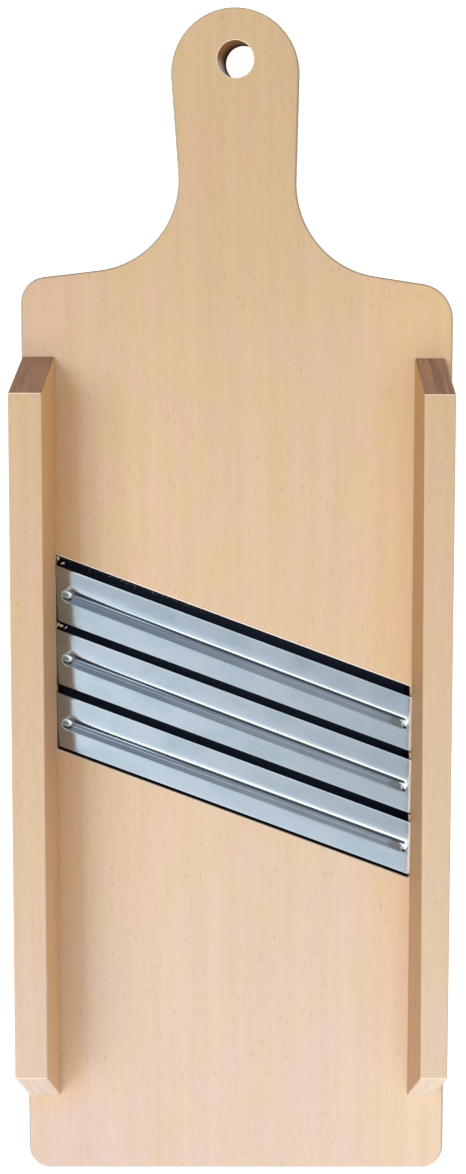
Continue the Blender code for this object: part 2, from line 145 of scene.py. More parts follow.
# The groove's ends: their places inside the window, how blunt they are, and the left one's drop
GROOVE_FROM_LEFT_WALL = 0.0026
GROOVE_FROM_RIGHT_WALL = 0.0001
LEFT_END_BLUNTNESS = 0.96
RIGHT_END_BLUNTNESS = 2.0
LEFT_END_DROP = 0.0010

# The round bump that the press leaves at the groove's left end
BUMP_FROM_LEFT_END = 0.0018
BUMP_SIDEWAYS = 0.0011
BUMP_HALF_LENGTH = 0.00195
BUMP_HALF_HEIGHT = 0.00135
BUMP_HEIGHT = 0.0003

# Painted highlights, painted reflections and painted shade at the groove's ends: a white crescent
# and a pale ring round the left end's bump, dark spots, and a white hook at the right end. Later
# ones lie on top, as (end, from that end, sideways, half length, half height, tone from dark to
# pale, share of the steel that is hidden). The left end's marks fade out over a stretch past it.
LEFT = 0
RIGHT = 1
END_PAINTED_LIGHT = [
    (LEFT, 0.0030, 0.0016, 0.0033, 0.0026, 0.85, 0.85),
    (LEFT, 0.0032, 0.0013, 0.0031, 0.0024, 0.05, 0.88),
    (LEFT, 0.0015, 0.0028, 0.0008, 0.0006, 0.0, 1.0),
    (LEFT, 0.0034, 0.0023, 0.0009, 0.0006, 0.0, 1.0),
    (LEFT, 0.0018, 0.0011, 0.00205, 0.00145, 1.0, 1.0),
    (LEFT, 0.0013, 0.00160, 0.00155, 0.00115, 0.34, 0.95),
    (LEFT, 0.0013, 0.00150, 0.00075, 0.00060, 0.26, 0.80),
    (RIGHT, -0.0043, 0.0020, 0.0030, 0.0015, 0.21, 0.78),
    (RIGHT, -0.0016, 0.0021, 0.0007, 0.0010, 0.45, 0.80),
    (RIGHT, -0.0019, 0.0014, 0.00038, 0.0009, 1.0, 1.0),
    (RIGHT, -0.0007, 0.0028, 0.0008, 0.00055, 0.0, 1.0),
    (RIGHT, -0.0024, 0.0008, 0.0009, 0.00038, 1.0, 1.0),
    (RIGHT, -0.0003, 0.0002, 0.0010, 0.0010, 1.0, 0.80),
]
END_PAINTED_LIGHT_FADE = (0.0034, 0.0052)
MARK_SOFT = 0.00015

# The rest of a blade's face: flats that lean, an end that lifts, and edges that are rolled, turned
# and nicked
LOWER_FLAT_LEANS = (math.radians(1.1), math.radians(1.1), math.radians(1.6))
BACK_EDGE_ROLL = 0.00002
BACK_EDGE_ROLL_WIDTH = 0.0006
RIGHT_END_LIFT = 0.00010
RIGHT_END_LIFT_LENGTH = 0.0085
EDGE_TURN_UP = 0.00004
EDGE_TURN_WIDTH = 0.0005
EDGE_NICK = 0.00008
EDGE_NICKS_PER_METRE = 900

# Mesh of a blade: rows by their distance from the cutting edge, with runs as (first, step, count)
EDGE_ROWS = [0.0, 0.00015, 0.0003, EDGE_TURN_WIDTH, 0.0011, 0.0020, 0.0030, 0.0040]
GROOVE_ROWS = [(0.0048, 0.0002, 7), (0.0062, 0.0001, 48), (0.0110, 0.0002, 12)]
TAIL_ROWS_START = 0.0134
TAIL_ROWS = 6
ROLL_ROW_SHARES = (1.0, 0.7, 0.4, 0.2, 0.0)
FINE_COLUMN = 0.00025
COARSE_COLUMN = 0.0014
FINE_COLUMNS_LENGTH = 0.0160

# Fasteners
SCREW_HEAD_RADIUS = 0.0035
SCREW_CORE_RADIUS = 0.0013
SCREW_CREST_RADIUS = 0.00175
SCREW_THREAD_PITCH = 0.0016
SCREW_THREAD_LENGTH = 0.0150
SCREW_TIP_LENGTH = 0.0025
SCREW_TIP_SHARE = 0.02
SCREW_SINK = 0.0003
SCREW_SIDES = 28
SCREW_BORE_SIDES = 32
THREAD_STEPS_PER_TURN = 8
RECESS_DEPTH = 0.0016
RECESS_SPAN = 0.0038
RECESS_SLOT = 0.0009
RECESS_BOTTOM_SHARE = 0.45
BRAD_RADIUS = 0.0007
BRAD_SIDES = 24
BRAD_BORE_SIDES = 16
BRAD_HEAD_RADIUS = 0.0015
BRAD_HEAD_HEIGHT = 0.0005
BRAD_HEAD_TOP_SHARE = 0.8
BRAD_HEAD_SLOPE_SHARE = 0.4
BRAD_TIP_LENGTH = 0.0012
BRAD_FROM_TAIL = 0.0030
BRAD_LENGTH = 0.0080
CLEARANCE = 0.0003
RAIL_SIDES = ("left", "right")
SCREW_NAMES = [f"{side}_rail_{where}_screw" for side in RAIL_SIDES
               for where in ("foot", "middle", "head")]
BRAD_NAMES = [f"blade_{index + 1}_{side}_brad" for index in range(BLADE_COUNT)
              for side in RAIL_SIDES]

# Fibres along the first slot's wall, crowded towards its left end
FIBRE_LENGTH = 0.0016
FIBRE_RADIUS = 0.00009
FIBRE_COUNT = 130
FIBRE_CROWDING = 1.8
FIBRE_FROM_WALL = 0.0004
FIBRE_STRETCH = 0.060
FIBRE_DROPS = (0.0002, 0.0010)
FIBRE_DEPTHS = (0.0006, 0.0032)
FIBRE_SIZES = (0.35, 1.2)
FIBRE_SIDES = 5
FIBRE_STEPS = 6
FIBRE_TIP_SHARE = 0.15
FIBRE_LEAN_X = 0.9
FIBRE_LEAN_Y = 0.7

# Crumbs in the left corners of the first two slots, as heaps of (slot, from the wall, from the
# corner towards the handle, spread, count)
CRUMB_LENGTH = 0.0009
CRUMB_RADIUS = 0.00034
CRUMB_HEAPS = [
    (0, 0.0010, -0.0012, 0.0005, 7),
    (0, 0.0027, -0.0034, 0.0005, 8),
    (1, 0.0006, 0.0016, 0.0005, 8),
    (1, 0.0020, 0.0011, 0.0005, 7),
    (1, 0.0038, 0.0004, 0.0004, 6),
]
CRUMB_RISE = 0.0004
CRUMB_OFF_WALL = 0.0002

# Camera, in the place that the picture was taken from
CAMERA_PLACE = (0.008955, 0.004847, 0.329852)
CAMERA_TURN = (-2.4943, -0.1921, 0.1590)
CAMERA_LENS = 24.454
CAMERA_SENSOR = 36.0
CAMERA_SHIFT = (-0.0247, 0.0349)

# Lamps, as (name, place, size in X, size in Y, power, colour)
LAMPS = [
    ("foot_light", (0.05, -1.06, 0.86), 1.3, 0.27, 4.7, (1.0, 0.97, 0.93)),
    ("left_light", (-0.98, -0.05, 0.98), 0.9, 0.9, 9.2, (1.0, 0.96, 0.90)),
    ("right_fill", (0.90, -0.30, 0.75), 0.5, 0.5, 0.8, (1.0, 0.95, 0.88)),
]

# Floor: its reach, the gap under the board, and how softly the painted shade under the board starts
FLOOR_REACH = 6.0
FLOOR_GAP = 0.0002
FLOOR_SHADE_SOFT = 0.008

# Colours of the beech grain, and tints that paint light and shade: lighter towards the foot, darker
# towards the handle, and on one side of a piece
BEECH_COLORS = {
    "Pale": (0.785, 0.60, 0.43),
    "Deep": (0.705, 0.52, 0.352),
    "Ray": (0.42, 0.205, 0.125),
    "End": (0.56, 0.325, 0.205),
    "Fresh End": (0.75, 0.595, 0.435),
}
BEECH_LIGHT_TINTS = {
    "Foot Light": (1.02, 1.09, 1.30),
    "Handle Shade": (0.93, 0.91, 0.82),
    "Side": (1.07, 1.05, 0.96),
}
LEFT_RAIL_COLORS = {
    **BEECH_COLORS,
    "Pale": (0.71, 0.535, 0.38),
    "Deep": (0.635, 0.46, 0.31),
    "End": (0.475, 0.27, 0.175),
    "Fresh End": (0.685, 0.54, 0.405),
}
# The left rail's inner side is painted lighter and warmer, as painted bounce light
LEFT_RAIL_LIGHT_TINTS = {**BEECH_LIGHT_TINTS, "Foot Light": (1.06, 1.13, 1.33), "Side": (1.25, 1.14, 0.98)}
RIGHT_RAIL_COLORS = {
    **BEECH_COLORS,
    "Pale": (0.735, 0.56, 0.395),
    "Deep": (0.665, 0.485, 0.325),
}
# The right rail's inner side is painted darker, as painted shade
RIGHT_RAIL_LIGHT_TINTS = {**BEECH_LIGHT_TINTS, "Foot Light": (1.04, 1.12, 1.28), "Side": (0.73, 0.60, 0.46)}

# Strength of the grain, and the height of the fine relief on wood and steel
GRAIN_CONTRAST = 0.9
GRAIN_RAYS = 0.24
RELIEF_HEIGHT = 0.0001

# Where the wood's painted light and shade set in, as (none, full) along Y and along the board's X
FOOT_LIGHT_STRETCH = (0.02, -0.22)
HANDLE_SHADE_STRETCH = (0.02, 0.20)
# The sawn ends turn paler towards the foot, partly their own tone and partly painted light
FOOT_ENDS_TONE_AND_LIGHT = (0.02, -0.06)
# Painted light on the board's right side, and painted shade on its left side and beside the left
# rail
RIGHT_SIDE_LIGHT = (0.040, 0.070)
LEFT_SIDE_SHADE = (-0.025, -0.062)
BESIDE_LEFT_RAIL_SHADE = (-0.058, -0.067)
PAST_RAIL_FOOT = (-0.196, -0.212)
PAST_RAIL_HEAD = (0.078, 0.096)

# Painted shade on the walls of the window and the hole: the stretch of the board that holds the
# window, how softly the painted shade starts, and how far under the rim it starts and is full
WALL_SHADE_FOOT_Y = -0.160
WALL_SHADE_HANDLE_Y = 0.060
WALL_SHADE_STRETCH_SOFT = 0.005
WALL_SHADE_SOFT = 0.0010
WALL_SHADE_RIM_DEPTH = 0.0003
WALL_SHADE_FULL_DEPTH = 0.0020

# Limits for meshes
EDGE_SEGMENTS = 4
RIM_SEGMENTS = 3
FLAT_UP = 0.999
WALL_UP = 0.7
SLANT_TOLERANCE = 0.02
HOLE_RIM_TOLERANCE = 0.0002
SHARP_ANGLE = math.radians(32.0)
FLAT_ANGLE = math.radians(0.5)
MERGE_DISTANCE = 0.000005
QUARTER_TURN = math.radians(90.0)
SEED = 7

# Places that follow
BOARD_MIDDLE_Z = (BOARD_LOW.z + BOARD_TOP) / 2
BOARD_THICKNESS = BOARD_TOP - BOARD_LOW.z
SHOULDER_Y = HANDLE_END_Y - HANDLE_LENGTH
RAIL_HEIGHT = LEFT_RAIL_HIGH.z - LEFT_RAIL_LOW.z
WINDOW_LEFT_X = LEFT_RAIL_HIGH.x
WINDOW_RIGHT_X = RIGHT_RAIL_LOW.x - WINDOW_WALL_BESIDE_RIGHT_RAIL
WINDOW_MIDDLE_X = (WINDOW_LEFT_X + WINDOW_RIGHT_X) / 2
WINDOW_TOP_Y = FOOT_Y + WINDOW_TOP_FROM_FOOT
BLADE_PITCH = BLADE_WIDTH * math.cos(BLADE_TILT) + NEXT_SLOT
WINDOW_ACROSS = FIRST_SLOT + BLADE_COUNT * BLADE_PITCH - NEXT_SLOT + TAIL_GAP
BLADE_LEFT_X = WINDOW_LEFT_X - BLADE_SEAT
BLADE_RIGHT_X = WINDOW_RIGHT_X + BLADE_SEAT
BACK_EDGE_ROLL_START = BLADE_WIDTH - BACK_EDGE_ROLL_WIDTH
GROOVE_START = GROOVE_UPPER_SIDE[0][0]
GROOVE_END = GROOVE_LOWER_SIDE[-1][0]
GROOVE_MIDDLE = (GROOVE_START + GROOVE_END) / 2
GROOVE_HALF = (GROOVE_END - GROOVE_START) / 2
SCREW_LOW, SCREW_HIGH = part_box(SCREW_NAMES[0])
SCREW_LENGTH = SCREW_HIGH.z - SCREW_LOW.z
SCREW_HEAD_HEIGHT = SCREW_SINK + SCREW_HEAD_RADIUS - SCREW_CREST_RADIUS
TOO_LONG = 4 * BOARD_THICKNESS


# Small helpers for meshes and objects

def place_object(name, mesh, matrix=None):
    """An object of the mesh; a matrix is applied to the mesh, so the object stays at the origin."""
    if matrix:
        mesh.transform(matrix)
    thing = bpy.data.objects.new(name, mesh)
    bpy.context.scene.collection.objects.link(thing)
    return thing


def frozen_mesh(thing):
    """The object's mesh with its modifiers applied; the object itself is removed."""
    bpy.context.view_layer.update()
    seen = thing.evaluated_get(bpy.context.evaluated_depsgraph_get())
    mesh = bpy.data.meshes.new_from_object(seen)
    mesh.name = thing.name
    bpy.data.objects.remove(thing)
    return mesh


def mesh_of(shape, name):
    """A new mesh of a bmesh shape, which is freed."""
    mesh = bpy.data.meshes.new(name)
    shape.to_mesh(mesh)
    shape.free()
    return mesh


def cut_mesh(thing, tools):
    """The object's mesh with the tools cut out of it; the object and the tools are removed."""
    for tool in tools:
        modifier = thing.modifiers.new(tool.name, "BOOLEAN")
        modifier.operation = "DIFFERENCE"
        modifier.solver = "EXACT"
        modifier.object = tool
    mesh = frozen_mesh(thing)
    for tool in tools:
        bpy.data.objects.remove(tool)
    return mesh


def merge_flat(shape):
    """Merges doubled points, and faces that lie in one plane."""
    bmesh.ops.remove_doubles(shape, verts=shape.verts, dist=MERGE_DISTANCE)
    bmesh.ops.dissolve_limit(shape, angle_limit=FLAT_ANGLE, verts=shape.verts, edges=shape.edges)


def finished_wood(mesh, rims=()):
    """The mesh tidied after its cuts and shaded; rims are (test of an edge, width of its round)."""
    shape = bmesh.new()
    shape.from_mesh(mesh)
    merge_flat(shape)
    for is_rim, width in rims:
        edges = [edge for edge in shape.edges if is_rim(edge)]
        bmesh.ops.bevel(shape, geom=edges, offset=width, segments=RIM_SEGMENTS,
                        profile=0.5, affect="EDGES", clamp_overlap=True)
    bmesh.ops.triangulate(shape, faces=[face for face in shape.faces if len(face.verts) > 4])
    shape.to_mesh(mesh)
    shape.free()
    shade_round(mesh)
    return mesh


def round_edges(thing, width):
    """Rounds the object's sharp edges."""
    bevel = thing.modifiers.new("round_edges", "BEVEL")
    bevel.width = width
    bevel.segments = EDGE_SEGMENTS
    bevel.limit_method = "ANGLE"
    bevel.angle_limit = SHARP_ANGLE


def shade_round(mesh):
    """Smooth shading with creases kept where faces meet sharply."""
    mesh.shade_smooth()
    mesh.set_sharp_from_angle(angle=SHARP_ANGLE)


def weigh_normals(thing):
    """Keeps big flat faces flat beside their rounded edges."""
    weighted = thing.modifiers.new("weighted_normals", "WEIGHTED_NORMAL")
    weighted.mode = "FACE_AREA"
    weighted.weight = 100
    weighted.keep_sharp = True


def outline_mesh(name, points, height):
    """A closed prism, from a flat curve through the points, centred on its own XY plane."""
    curve = bpy.data.curves.new(name + "_outline", "CURVE")
    curve.dimensions = "2D"
    curve.fill_mode = "BOTH"
    curve.extrude = height / 2
    curve.resolution_u = 1
    spline = curve.splines.new("POLY")
    spline.points.add(len(points) - 1)
    for spline_point, (x, y) in zip(spline.points, points):
        spline_point.co = (x, y, 0.0, 1.0)
    spline.use_cyclic_u = True
    holder = bpy.data.objects.new(name, curve)
    bpy.context.scene.collection.objects.link(holder)
    mesh = frozen_mesh(holder)
    bpy.data.curves.remove(curve)
    shape = bmesh.new()
    shape.from_mesh(mesh)
    merge_flat(shape)
    bmesh.ops.recalc_face_normals(shape, faces=shape.faces)
    shape.to_mesh(mesh)
    shape.free()
    return mesh


def belt_outline(circles):
    """Points of a closed outline that wraps round circles of (x, y, radius, bulge).

    The circles are named anticlockwise. A bulge of 1 is an outer corner and -1 is a hollow one.
    """
    headings = []
    for here, there in zip(circles, circles[1:] + circles[:1]):
        across = Vector((there[0] - here[0], there[1] - here[1]))
        swing = (there[2] * there[3] - here[2] * here[3]) / across.length
        headings.append(math.atan2(across.y, across.x) - math.asin(swing))
    points = []
    for index, (x, y, radius, bulge) in enumerate(circles):
        arriving = headings[index - 1]
        sweep = bulge * ((bulge * (headings[index] - arriving)) % (2 * math.pi))
        steps = max(2, math.ceil(abs(sweep) / ARC_STEP))
        for step in range(steps + 1):
            heading = arriving + sweep * step / steps
            reach = radius * bulge
            points.append((x + reach * math.sin(heading), y - reach * math.cos(heading)))
    return points


def smooth_step(value, low, high):
    """Rises smoothly from 0 at low to 1 at high."""
    share = min(1.0, max(0.0, (value - low) / (high - low)))
    return share * share * (3 - 2 * share)


def grid_faces(shape, rows, flip=False):
    """Faces between rows of vertices."""
    for upper, lower in zip(rows, rows[1:]):
        for index in range(len(upper) - 1):
            corners = (upper[index], upper[index + 1], lower[index + 1], lower[index])
            shape.faces.new(tuple(reversed(corners)) if flip else corners)


# Board

def board_outline():
    """The board's outline, from the foot corners round the handle's head."""
    right_shoulder_y = SHOULDER_Y - RIGHT_SHOULDER_DROP
    return belt_outline([
        (-HALF_WIDTH + FOOT_CORNER_RADIUS, FOOT_Y + FOOT_CORNER_RADIUS, FOOT_CORNER_RADIUS, 1),
        (HALF_WIDTH - FOOT_CORNER_RADIUS, FOOT_Y + FOOT_CORNER_RADIUS, FOOT_CORNER_RADIUS, 1),
        (HALF_WIDTH - RIGHT_SHOULDER_RADIUS, right_shoulder_y - RIGHT_SHOULDER_RADIUS,
         RIGHT_SHOULDER_RADIUS, 1),
        (NECK_HALF_WIDTH + RIGHT_FLARE_RADIUS,
         right_shoulder_y + SHOULDER_FALL + RIGHT_FLARE_RADIUS, RIGHT_FLARE_RADIUS, -1),
        (HEAD_OFFSET, HANDLE_END_Y - HEAD_RADIUS, HEAD_RADIUS, 1),
        (-NECK_HALF_WIDTH - LEFT_FLARE_RADIUS,
         SHOULDER_Y + SHOULDER_FALL + LEFT_FLARE_RADIUS, LEFT_FLARE_RADIUS, -1),
        (-HALF_WIDTH + LEFT_SHOULDER_RADIUS, SHOULDER_Y - LEFT_SHOULDER_RADIUS,
         LEFT_SHOULDER_RADIUS, 1),
    ])


def window_top(x):
    """Place along the board of the window's upper edge at x."""
    return WINDOW_TOP_Y - x * math.tan(WINDOW_SLOPE)


def window_bottom(x):
    """Place along the board of the window's lower edge at x."""
    return window_top(x) - WINDOW_ACROSS / math.cos(WINDOW_SLOPE)


def window_tool():
    """The slanting window, right through the board."""
    corners = [
        (WINDOW_LEFT_X, window_bottom(WINDOW_LEFT_X)),
        (WINDOW_RIGHT_X, window_bottom(WINDOW_RIGHT_X)),
        (WINDOW_RIGHT_X, window_top(WINDOW_RIGHT_X)),
        (WINDOW_LEFT_X, window_top(WINDOW_LEFT_X)),
    ]
    mesh = outline_mesh("window_tool", corners, TOO_LONG)
    return place_object("window_tool", mesh, Matrix.Translation((0.0, 0.0, BOARD_MIDDLE_Z)))


def hole_place():
    """The middle of the hanging hole, on the board's front face."""
    return Vector((HEAD_OFFSET, HANDLE_END_Y - HOLE_FROM_HANDLE_END, BOARD_TOP))


def hole_tool():
    """A round bar that leans, for the hanging hole."""
    steps = round(2 * math.pi / ARC_STEP)
    turns = [2 * math.pi * step / steps for step in range(steps)]
    circle = [(HOLE_RADIUS * math.cos(turn), HOLE_RADIUS * math.sin(turn)) for turn in turns]
    mesh = outline_mesh("hole_tool", circle, TOO_LONG)
    lean = Matrix.Identity(4)
    lean[0][2] = -math.tan(HOLE_LEAN_SIDEWAYS)
    lean[1][2] = -math.tan(HOLE_LEAN_LENGTHWAYS)
    return place_object("hole_tool", mesh, Matrix.Translation(hole_place()) @ lean)


def blade_matrix(index):
    """Blade frame: origin on the top of the cutting edge, X along it, Y out past it, Z up."""
    down_the_slope = (FIRST_SLOT + index * BLADE_PITCH) / math.cos(WINDOW_SLOPE)
    edge_y = window_top(WINDOW_MIDDLE_X) - down_the_slope
    place = Matrix.Translation((WINDOW_MIDDLE_X, edge_y, BOARD_TOP + BLADE_STAND))
    return place @ Matrix.Rotation(-WINDOW_SLOPE, 4, "Z") @ Matrix.Rotation(BLADE_TILT, 4, "X")


def blade_x(board_x, across):
    """Place along a blade's own X axis of the point that is over board_x, across its width."""
    sideways = across * math.sin(WINDOW_SLOPE) * math.cos(BLADE_TILT)
    return (board_x - WINDOW_MIDDLE_X - sideways) / math.cos(WINDOW_SLOPE)


def seat_tool(index, top):
    """The room for one blade's ends, up to a height above the blade's face."""
    front = CLEARANCE
    back = -BLADE_WIDTH - CLEARANCE
    bottom = -BLADE_THICKNESS - CLEARANCE
    section = [(front, top), (back, top), (back, bottom), (front, bottom)]
    mesh = outline_mesh("seat_tool", section, 2 * HALF_WIDTH)
    mesh.transform(Matrix.Rotation(QUARTER_TURN, 4, "Z") @ Matrix.Rotation(QUARTER_TURN, 4, "X"))
    for vertex in mesh.vertices:
        end_x = BLADE_LEFT_X - CLEARANCE if vertex.co.x < 0 else BLADE_RIGHT_X + CLEARANCE
        vertex.co.x = blade_x(end_x, vertex.co.y)
    return place_object("seat_tool", mesh, blade_matrix(index))


def turned_mesh(name, profile, sides):
    """A turned solid from a profile of (radius, height) points that runs from top to bottom."""
    shape = bmesh.new()
    corners = [shape.verts.new((radius, 0.0, height)) for radius, height in profile]
    edges = [shape.edges.new(pair) for pair in zip(corners, corners[1:])]
    bmesh.ops.spin(shape, geom=corners + edges, axis=(0, 0, 1), cent=(0, 0, 0),
                   angle=2 * math.pi, steps=sides, use_merge=False)
    bmesh.ops.remove_doubles(shape, verts=shape.verts, dist=MERGE_DISTANCE)
    bmesh.ops.recalc_face_normals(shape, faces=shape.faces)
    return mesh_of(shape, name)


def screw_bore_tool(place):
    """The countersunk bore for a rail screw."""
    room = SCREW_CREST_RADIUS + CLEARANCE
    head_room = SCREW_HEAD_RADIUS + CLEARANCE
    profile = [
        (0.0, SCREW_LENGTH + CLEARANCE),
        (room, SCREW_LENGTH + CLEARANCE),
        (room, SCREW_HEAD_HEIGHT),
        (head_room, SCREW_SINK),
        (head_room, -TOO_LONG),
        (0.0, -TOO_LONG),
    ]
    return place_object("screw_bore", turned_mesh("screw_bore", profile, SCREW_BORE_SIDES), place)


def brad_bore_tool(place, top, bottom, sides):
    """The bore for a brad, between two heights over its seat on the blade."""
    room = BRAD_RADIUS + CLEARANCE
    profile = [(0.0, top), (room, top), (room, bottom), (0.0, bottom)]
    return place_object("brad_bore", turned_mesh("brad_bore", profile, sides), place)


def edge_middle(edge):
    """The middle of an edge."""
    return (edge.verts[0].co + edge.verts[1].co) / 2


def flat_count(edge):
    """How many of the edge's faces lie flat, as the board's front and back do."""
    return sum(abs(face.normal.z) > FLAT_UP for face in edge.link_faces)


def is_window_rim(edge):
    """Whether an edge is where the front or back face meets one of the window's slanting walls."""
    walls = sum(abs(face.normal.z) < WALL_UP for face in edge.link_faces)
    if len(edge.link_faces) != 2 or flat_count(edge) != 1 or walls != 1:
        return False
    middle = edge_middle(edge)
    span = edge.verts[1].co - edge.verts[0].co
    slant = abs(span.y + span.x * math.tan(WINDOW_SLOPE)) < SLANT_TOLERANCE * span.length
    in_window = WINDOW_LEFT_X - CLEARANCE < middle.x < WINDOW_RIGHT_X + CLEARANCE
    between = window_bottom(middle.x) - CLEARANCE < middle.y < window_top(middle.x) + CLEARANCE
    return slant and in_window and between


def is_hole_rim(edge):
    """Whether an edge is the hanging hole's rim on the front or the back face."""
    if len(edge.link_faces) != 2 or flat_count(edge) != 1:
        return False
    middle = edge_middle(edge)
    drop = BOARD_TOP - middle.z
    lean = Vector((math.tan(HOLE_LEAN_SIDEWAYS), math.tan(HOLE_LEAN_LENGTHWAYS))) * drop
    reach = (middle.xy - hole_place().xy - lean).length
    return abs(reach - HOLE_RADIUS) < HOLE_RIM_TOLERANCE


def board_mesh():
    """The board with its outline rounded, and with window, hole, seats and bores cut."""
    middle = Matrix.Translation((0.0, 0.0, BOARD_MIDDLE_Z))
    board = place_object("board_wood", outline_mesh("board_wood", board_outline(), BOARD_THICKNESS),
                         middle)
    round_edges(board, BOARD_EDGE_ROUND)
    tools = [window_tool(), hole_tool()]
    tools += [seat_tool(index, TOO_LONG) for index in range(BLADE_COUNT)]
    tools += [screw_bore_tool(place) for place in SCREW_PLACES]
    tools += [brad_bore_tool(place, CLEARANCE, -BRAD_LENGTH, BRAD_BORE_SIDES)
              for place in BRAD_PLACES]
    rims = ((is_window_rim, WINDOW_RIM_ROUND), (is_hole_rim, HOLE_RIM_ROUND))
    return finished_wood(cut_mesh(board, tools), rims)


# Rails

def rail_mesh(name, inner_x, outer_x, low, high, planed_off):
    """A rail that stands on the board, with its ends sawn to a slope and its bores cut."""
    shape = bmesh.new()
    bmesh.ops.create_cube(shape, size=1.0)
    planed_x = inner_x + math.copysign(planed_off, outer_x - inner_x)
    for corner in shape.verts:
        at_foot = corner.co.y < 0
        at_front = corner.co.z > 0
        at_inner_side = (corner.co.x > 0) == (inner_x > outer_x)
        shorter = RAIL_HEIGHT * math.tan(RAIL_END_SLOPE) if at_front else 0.0
        y = low.y + shorter if at_foot else high.y - shorter
        side_x = planed_x if at_foot and at_front else inner_x
        corner.co = (side_x if at_inner_side else outer_x, y, high.z if at_front else BOARD_TOP)
    rail = place_object(name, mesh_of(shape, name))
    round_edges(rail, RAIL_EDGE_ROUND)
    tools = [seat_tool(index, CLEARANCE) for index in range(BLADE_COUNT)]
    tools += [screw_bore_tool(place) for place in SCREW_PLACES]
    return finished_wood(cut_mesh(rail, tools))


# Blades

def section_depth(distance):
    """Depth of the groove at a distance from the cutting edge, curved softly between points."""
    side = GROOVE_UPPER_SIDE if distance < GROOVE_UPPER_SIDE[-1][0] else GROOVE_LOWER_SIDE
    if not side[0][0] <= distance < side[-1][0]:
        return 0.0
    index = max(number for number, point in enumerate(side) if point[0] <= distance)
    before, here, there, after = [side[max(0, min(len(side) - 1, index + step))]
                                  for step in (-1, 0, 1, 2)]
    span = there[0] - here[0]
    slope = (there[1] - here[1]) / span
    start = (there[1] - before[1]) / (there[0] - before[0])
    end = (after[1] - here[1]) / (after[0] - here[0])
    share = (distance - here[0]) / span
    bend = (start - slope) * (1 - share) - (end - slope) * share
    return here[1] + span * share * (slope + (1 - share) * bend)


def groove_ends():
    """Where a blade's groove begins and ends, along the blade."""
    return (blade_x(WINDOW_LEFT_X + GROOVE_FROM_LEFT_WALL, -GROOVE_MIDDLE),
            blade_x(WINDOW_RIGHT_X - GROOVE_FROM_RIGHT_WALL, -GROOVE_MIDDLE))


GROOVE_ENDS = groove_ends()


def below_groove_line(index, along, across):
    """How far a point of a blade is below the middle line of its groove."""
    return -across - GROOVE_SKEWS[index] * along - GROOVE_SHIFTS[index] - GROOVE_MIDDLE


def groove_place(index, along, across):
    """How far a point is from the groove's middle line, and its share of the lower side."""
    left_end, right_end = GROOVE_ENDS
    left_past = LEFT_END_BLUNTNESS * (left_end - along) + GROOVE_HALF
    right_past = RIGHT_END_BLUNTNESS * (along - right_end) + GROOVE_HALF
    sideways = below_groove_line(index, along, across)
    cap_length = GROOVE_HALF / LEFT_END_BLUNTNESS
    sideways -= LEFT_END_DROP * (1 - smooth_step(along, left_end, left_end + cap_length))
    reach = math.hypot(max(left_past, right_past, 0.0), sideways)
    return reach, 0.5 + 0.5 * sideways / max(reach, MERGE_DISTANCE)


def groove_height(index, along, across):
    """Height of the blade's face over its flat: a pressed groove with a bump at its left end."""
    reach, lower = groove_place(index, along, across)
    lengthways = (along - GROOVE_ENDS[0] - BUMP_FROM_LEFT_END) / BUMP_HALF_LENGTH
    sideways = (below_groove_line(index, along, across) - BUMP_SIDEWAYS) / BUMP_HALF_HEIGHT
    height = BUMP_HEIGHT * (1 - smooth_step(math.hypot(lengthways, sideways), 0.0, 1.1))
    if reach < GROOVE_HALF:
        height -= lower * section_depth(GROOVE_MIDDLE + reach)
        height -= (1 - lower) * section_depth(GROOVE_MIDDLE - reach)
    return height


def painted_crease_shade(index, along, across):
    """Share of painted shade and painted dark reflection in the crease under the rolled upper side.
    """
    reach, lower = groove_place(index, along, across)
    distance = GROOVE_MIDDLE - reach if lower < 0.5 else GROOVE_MIDDLE + reach
    start = CREASE_START - CREASE_WEDGE * (1 - smooth_step(along, *CREASE_WEDGE_ALONG))
    end = CREASE_END + CREASE_SPREAD * smooth_step(along, *CREASE_SPREAD_ALONG)
    dark = smooth_step(distance, start, start + CREASE_SOFT)
    return dark * (1 - smooth_step(distance, end, end + CREASE_SOFT))


def painted_light_at(index, along, across):
    """How much of the steel is hidden by painted highlights and shade at a point, and how pale they
    are.
    """
    cover = CREASE_COVER * painted_crease_shade(index, along, across)
    tone = CREASE_TONE
    below = below_groove_line(index, along, across)
    for end, from_end, sideways, half_length, half_height, mark_tone, strength in END_PAINTED_LIGHT:
        past_end = along - GROOVE_ENDS[end]
        reach = math.hypot((past_end - from_end) / half_length, (below - sideways) / half_height)
        past_edge = (reach - 1) * min(half_length, half_height)
        share = strength * (1 - smooth_step(past_edge, -MARK_SOFT, MARK_SOFT))
        if end == LEFT:
            share *= 1 - smooth_step(past_end, *END_PAINTED_LIGHT_FADE)
        cover += (1 - cover) * share
        tone += (mark_tone - tone) * share
    return cover, tone


def skewed(index, distance, along):
    """The place across the blade of a mesh row; rows follow the groove where it is askew."""
    follow = smooth_step(distance, EDGE_TURN_WIDTH, GROOVE_START)
    follow *= 1 - smooth_step(distance, GROOVE_END, BACK_EDGE_ROLL_START)
    return -distance - (GROOVE_SHIFTS[index] + GROOVE_SKEWS[index] * along) * follow


def blade_columns():
    """Places of the mesh's columns along the board's X, close together near both ends."""
    places = [BLADE_LEFT_X]
    while places[-1] < BLADE_RIGHT_X - FINE_COLUMN / 2:
        from_end = min(places[-1] - BLADE_LEFT_X, BLADE_RIGHT_X - places[-1])
        gap = FINE_COLUMN if from_end < FINE_COLUMNS_LENGTH else COARSE_COLUMN
        places.append(min(BLADE_RIGHT_X, places[-1] + gap))
    return places


def blade_rows():
    """Distances of the mesh's rows from the cutting edge."""
    rows = list(EDGE_ROWS)
    for start, gap, count in GROOVE_ROWS:
        rows += [start + gap * step for step in range(count)]
    left_over = BACK_EDGE_ROLL_START - TAIL_ROWS_START
    rows += [TAIL_ROWS_START + left_over * step / TAIL_ROWS for step in range(TAIL_ROWS)]
    rows += [BLADE_WIDTH - BACK_EDGE_ROLL_WIDTH * share for share in ROLL_ROW_SHARES]
    return rows


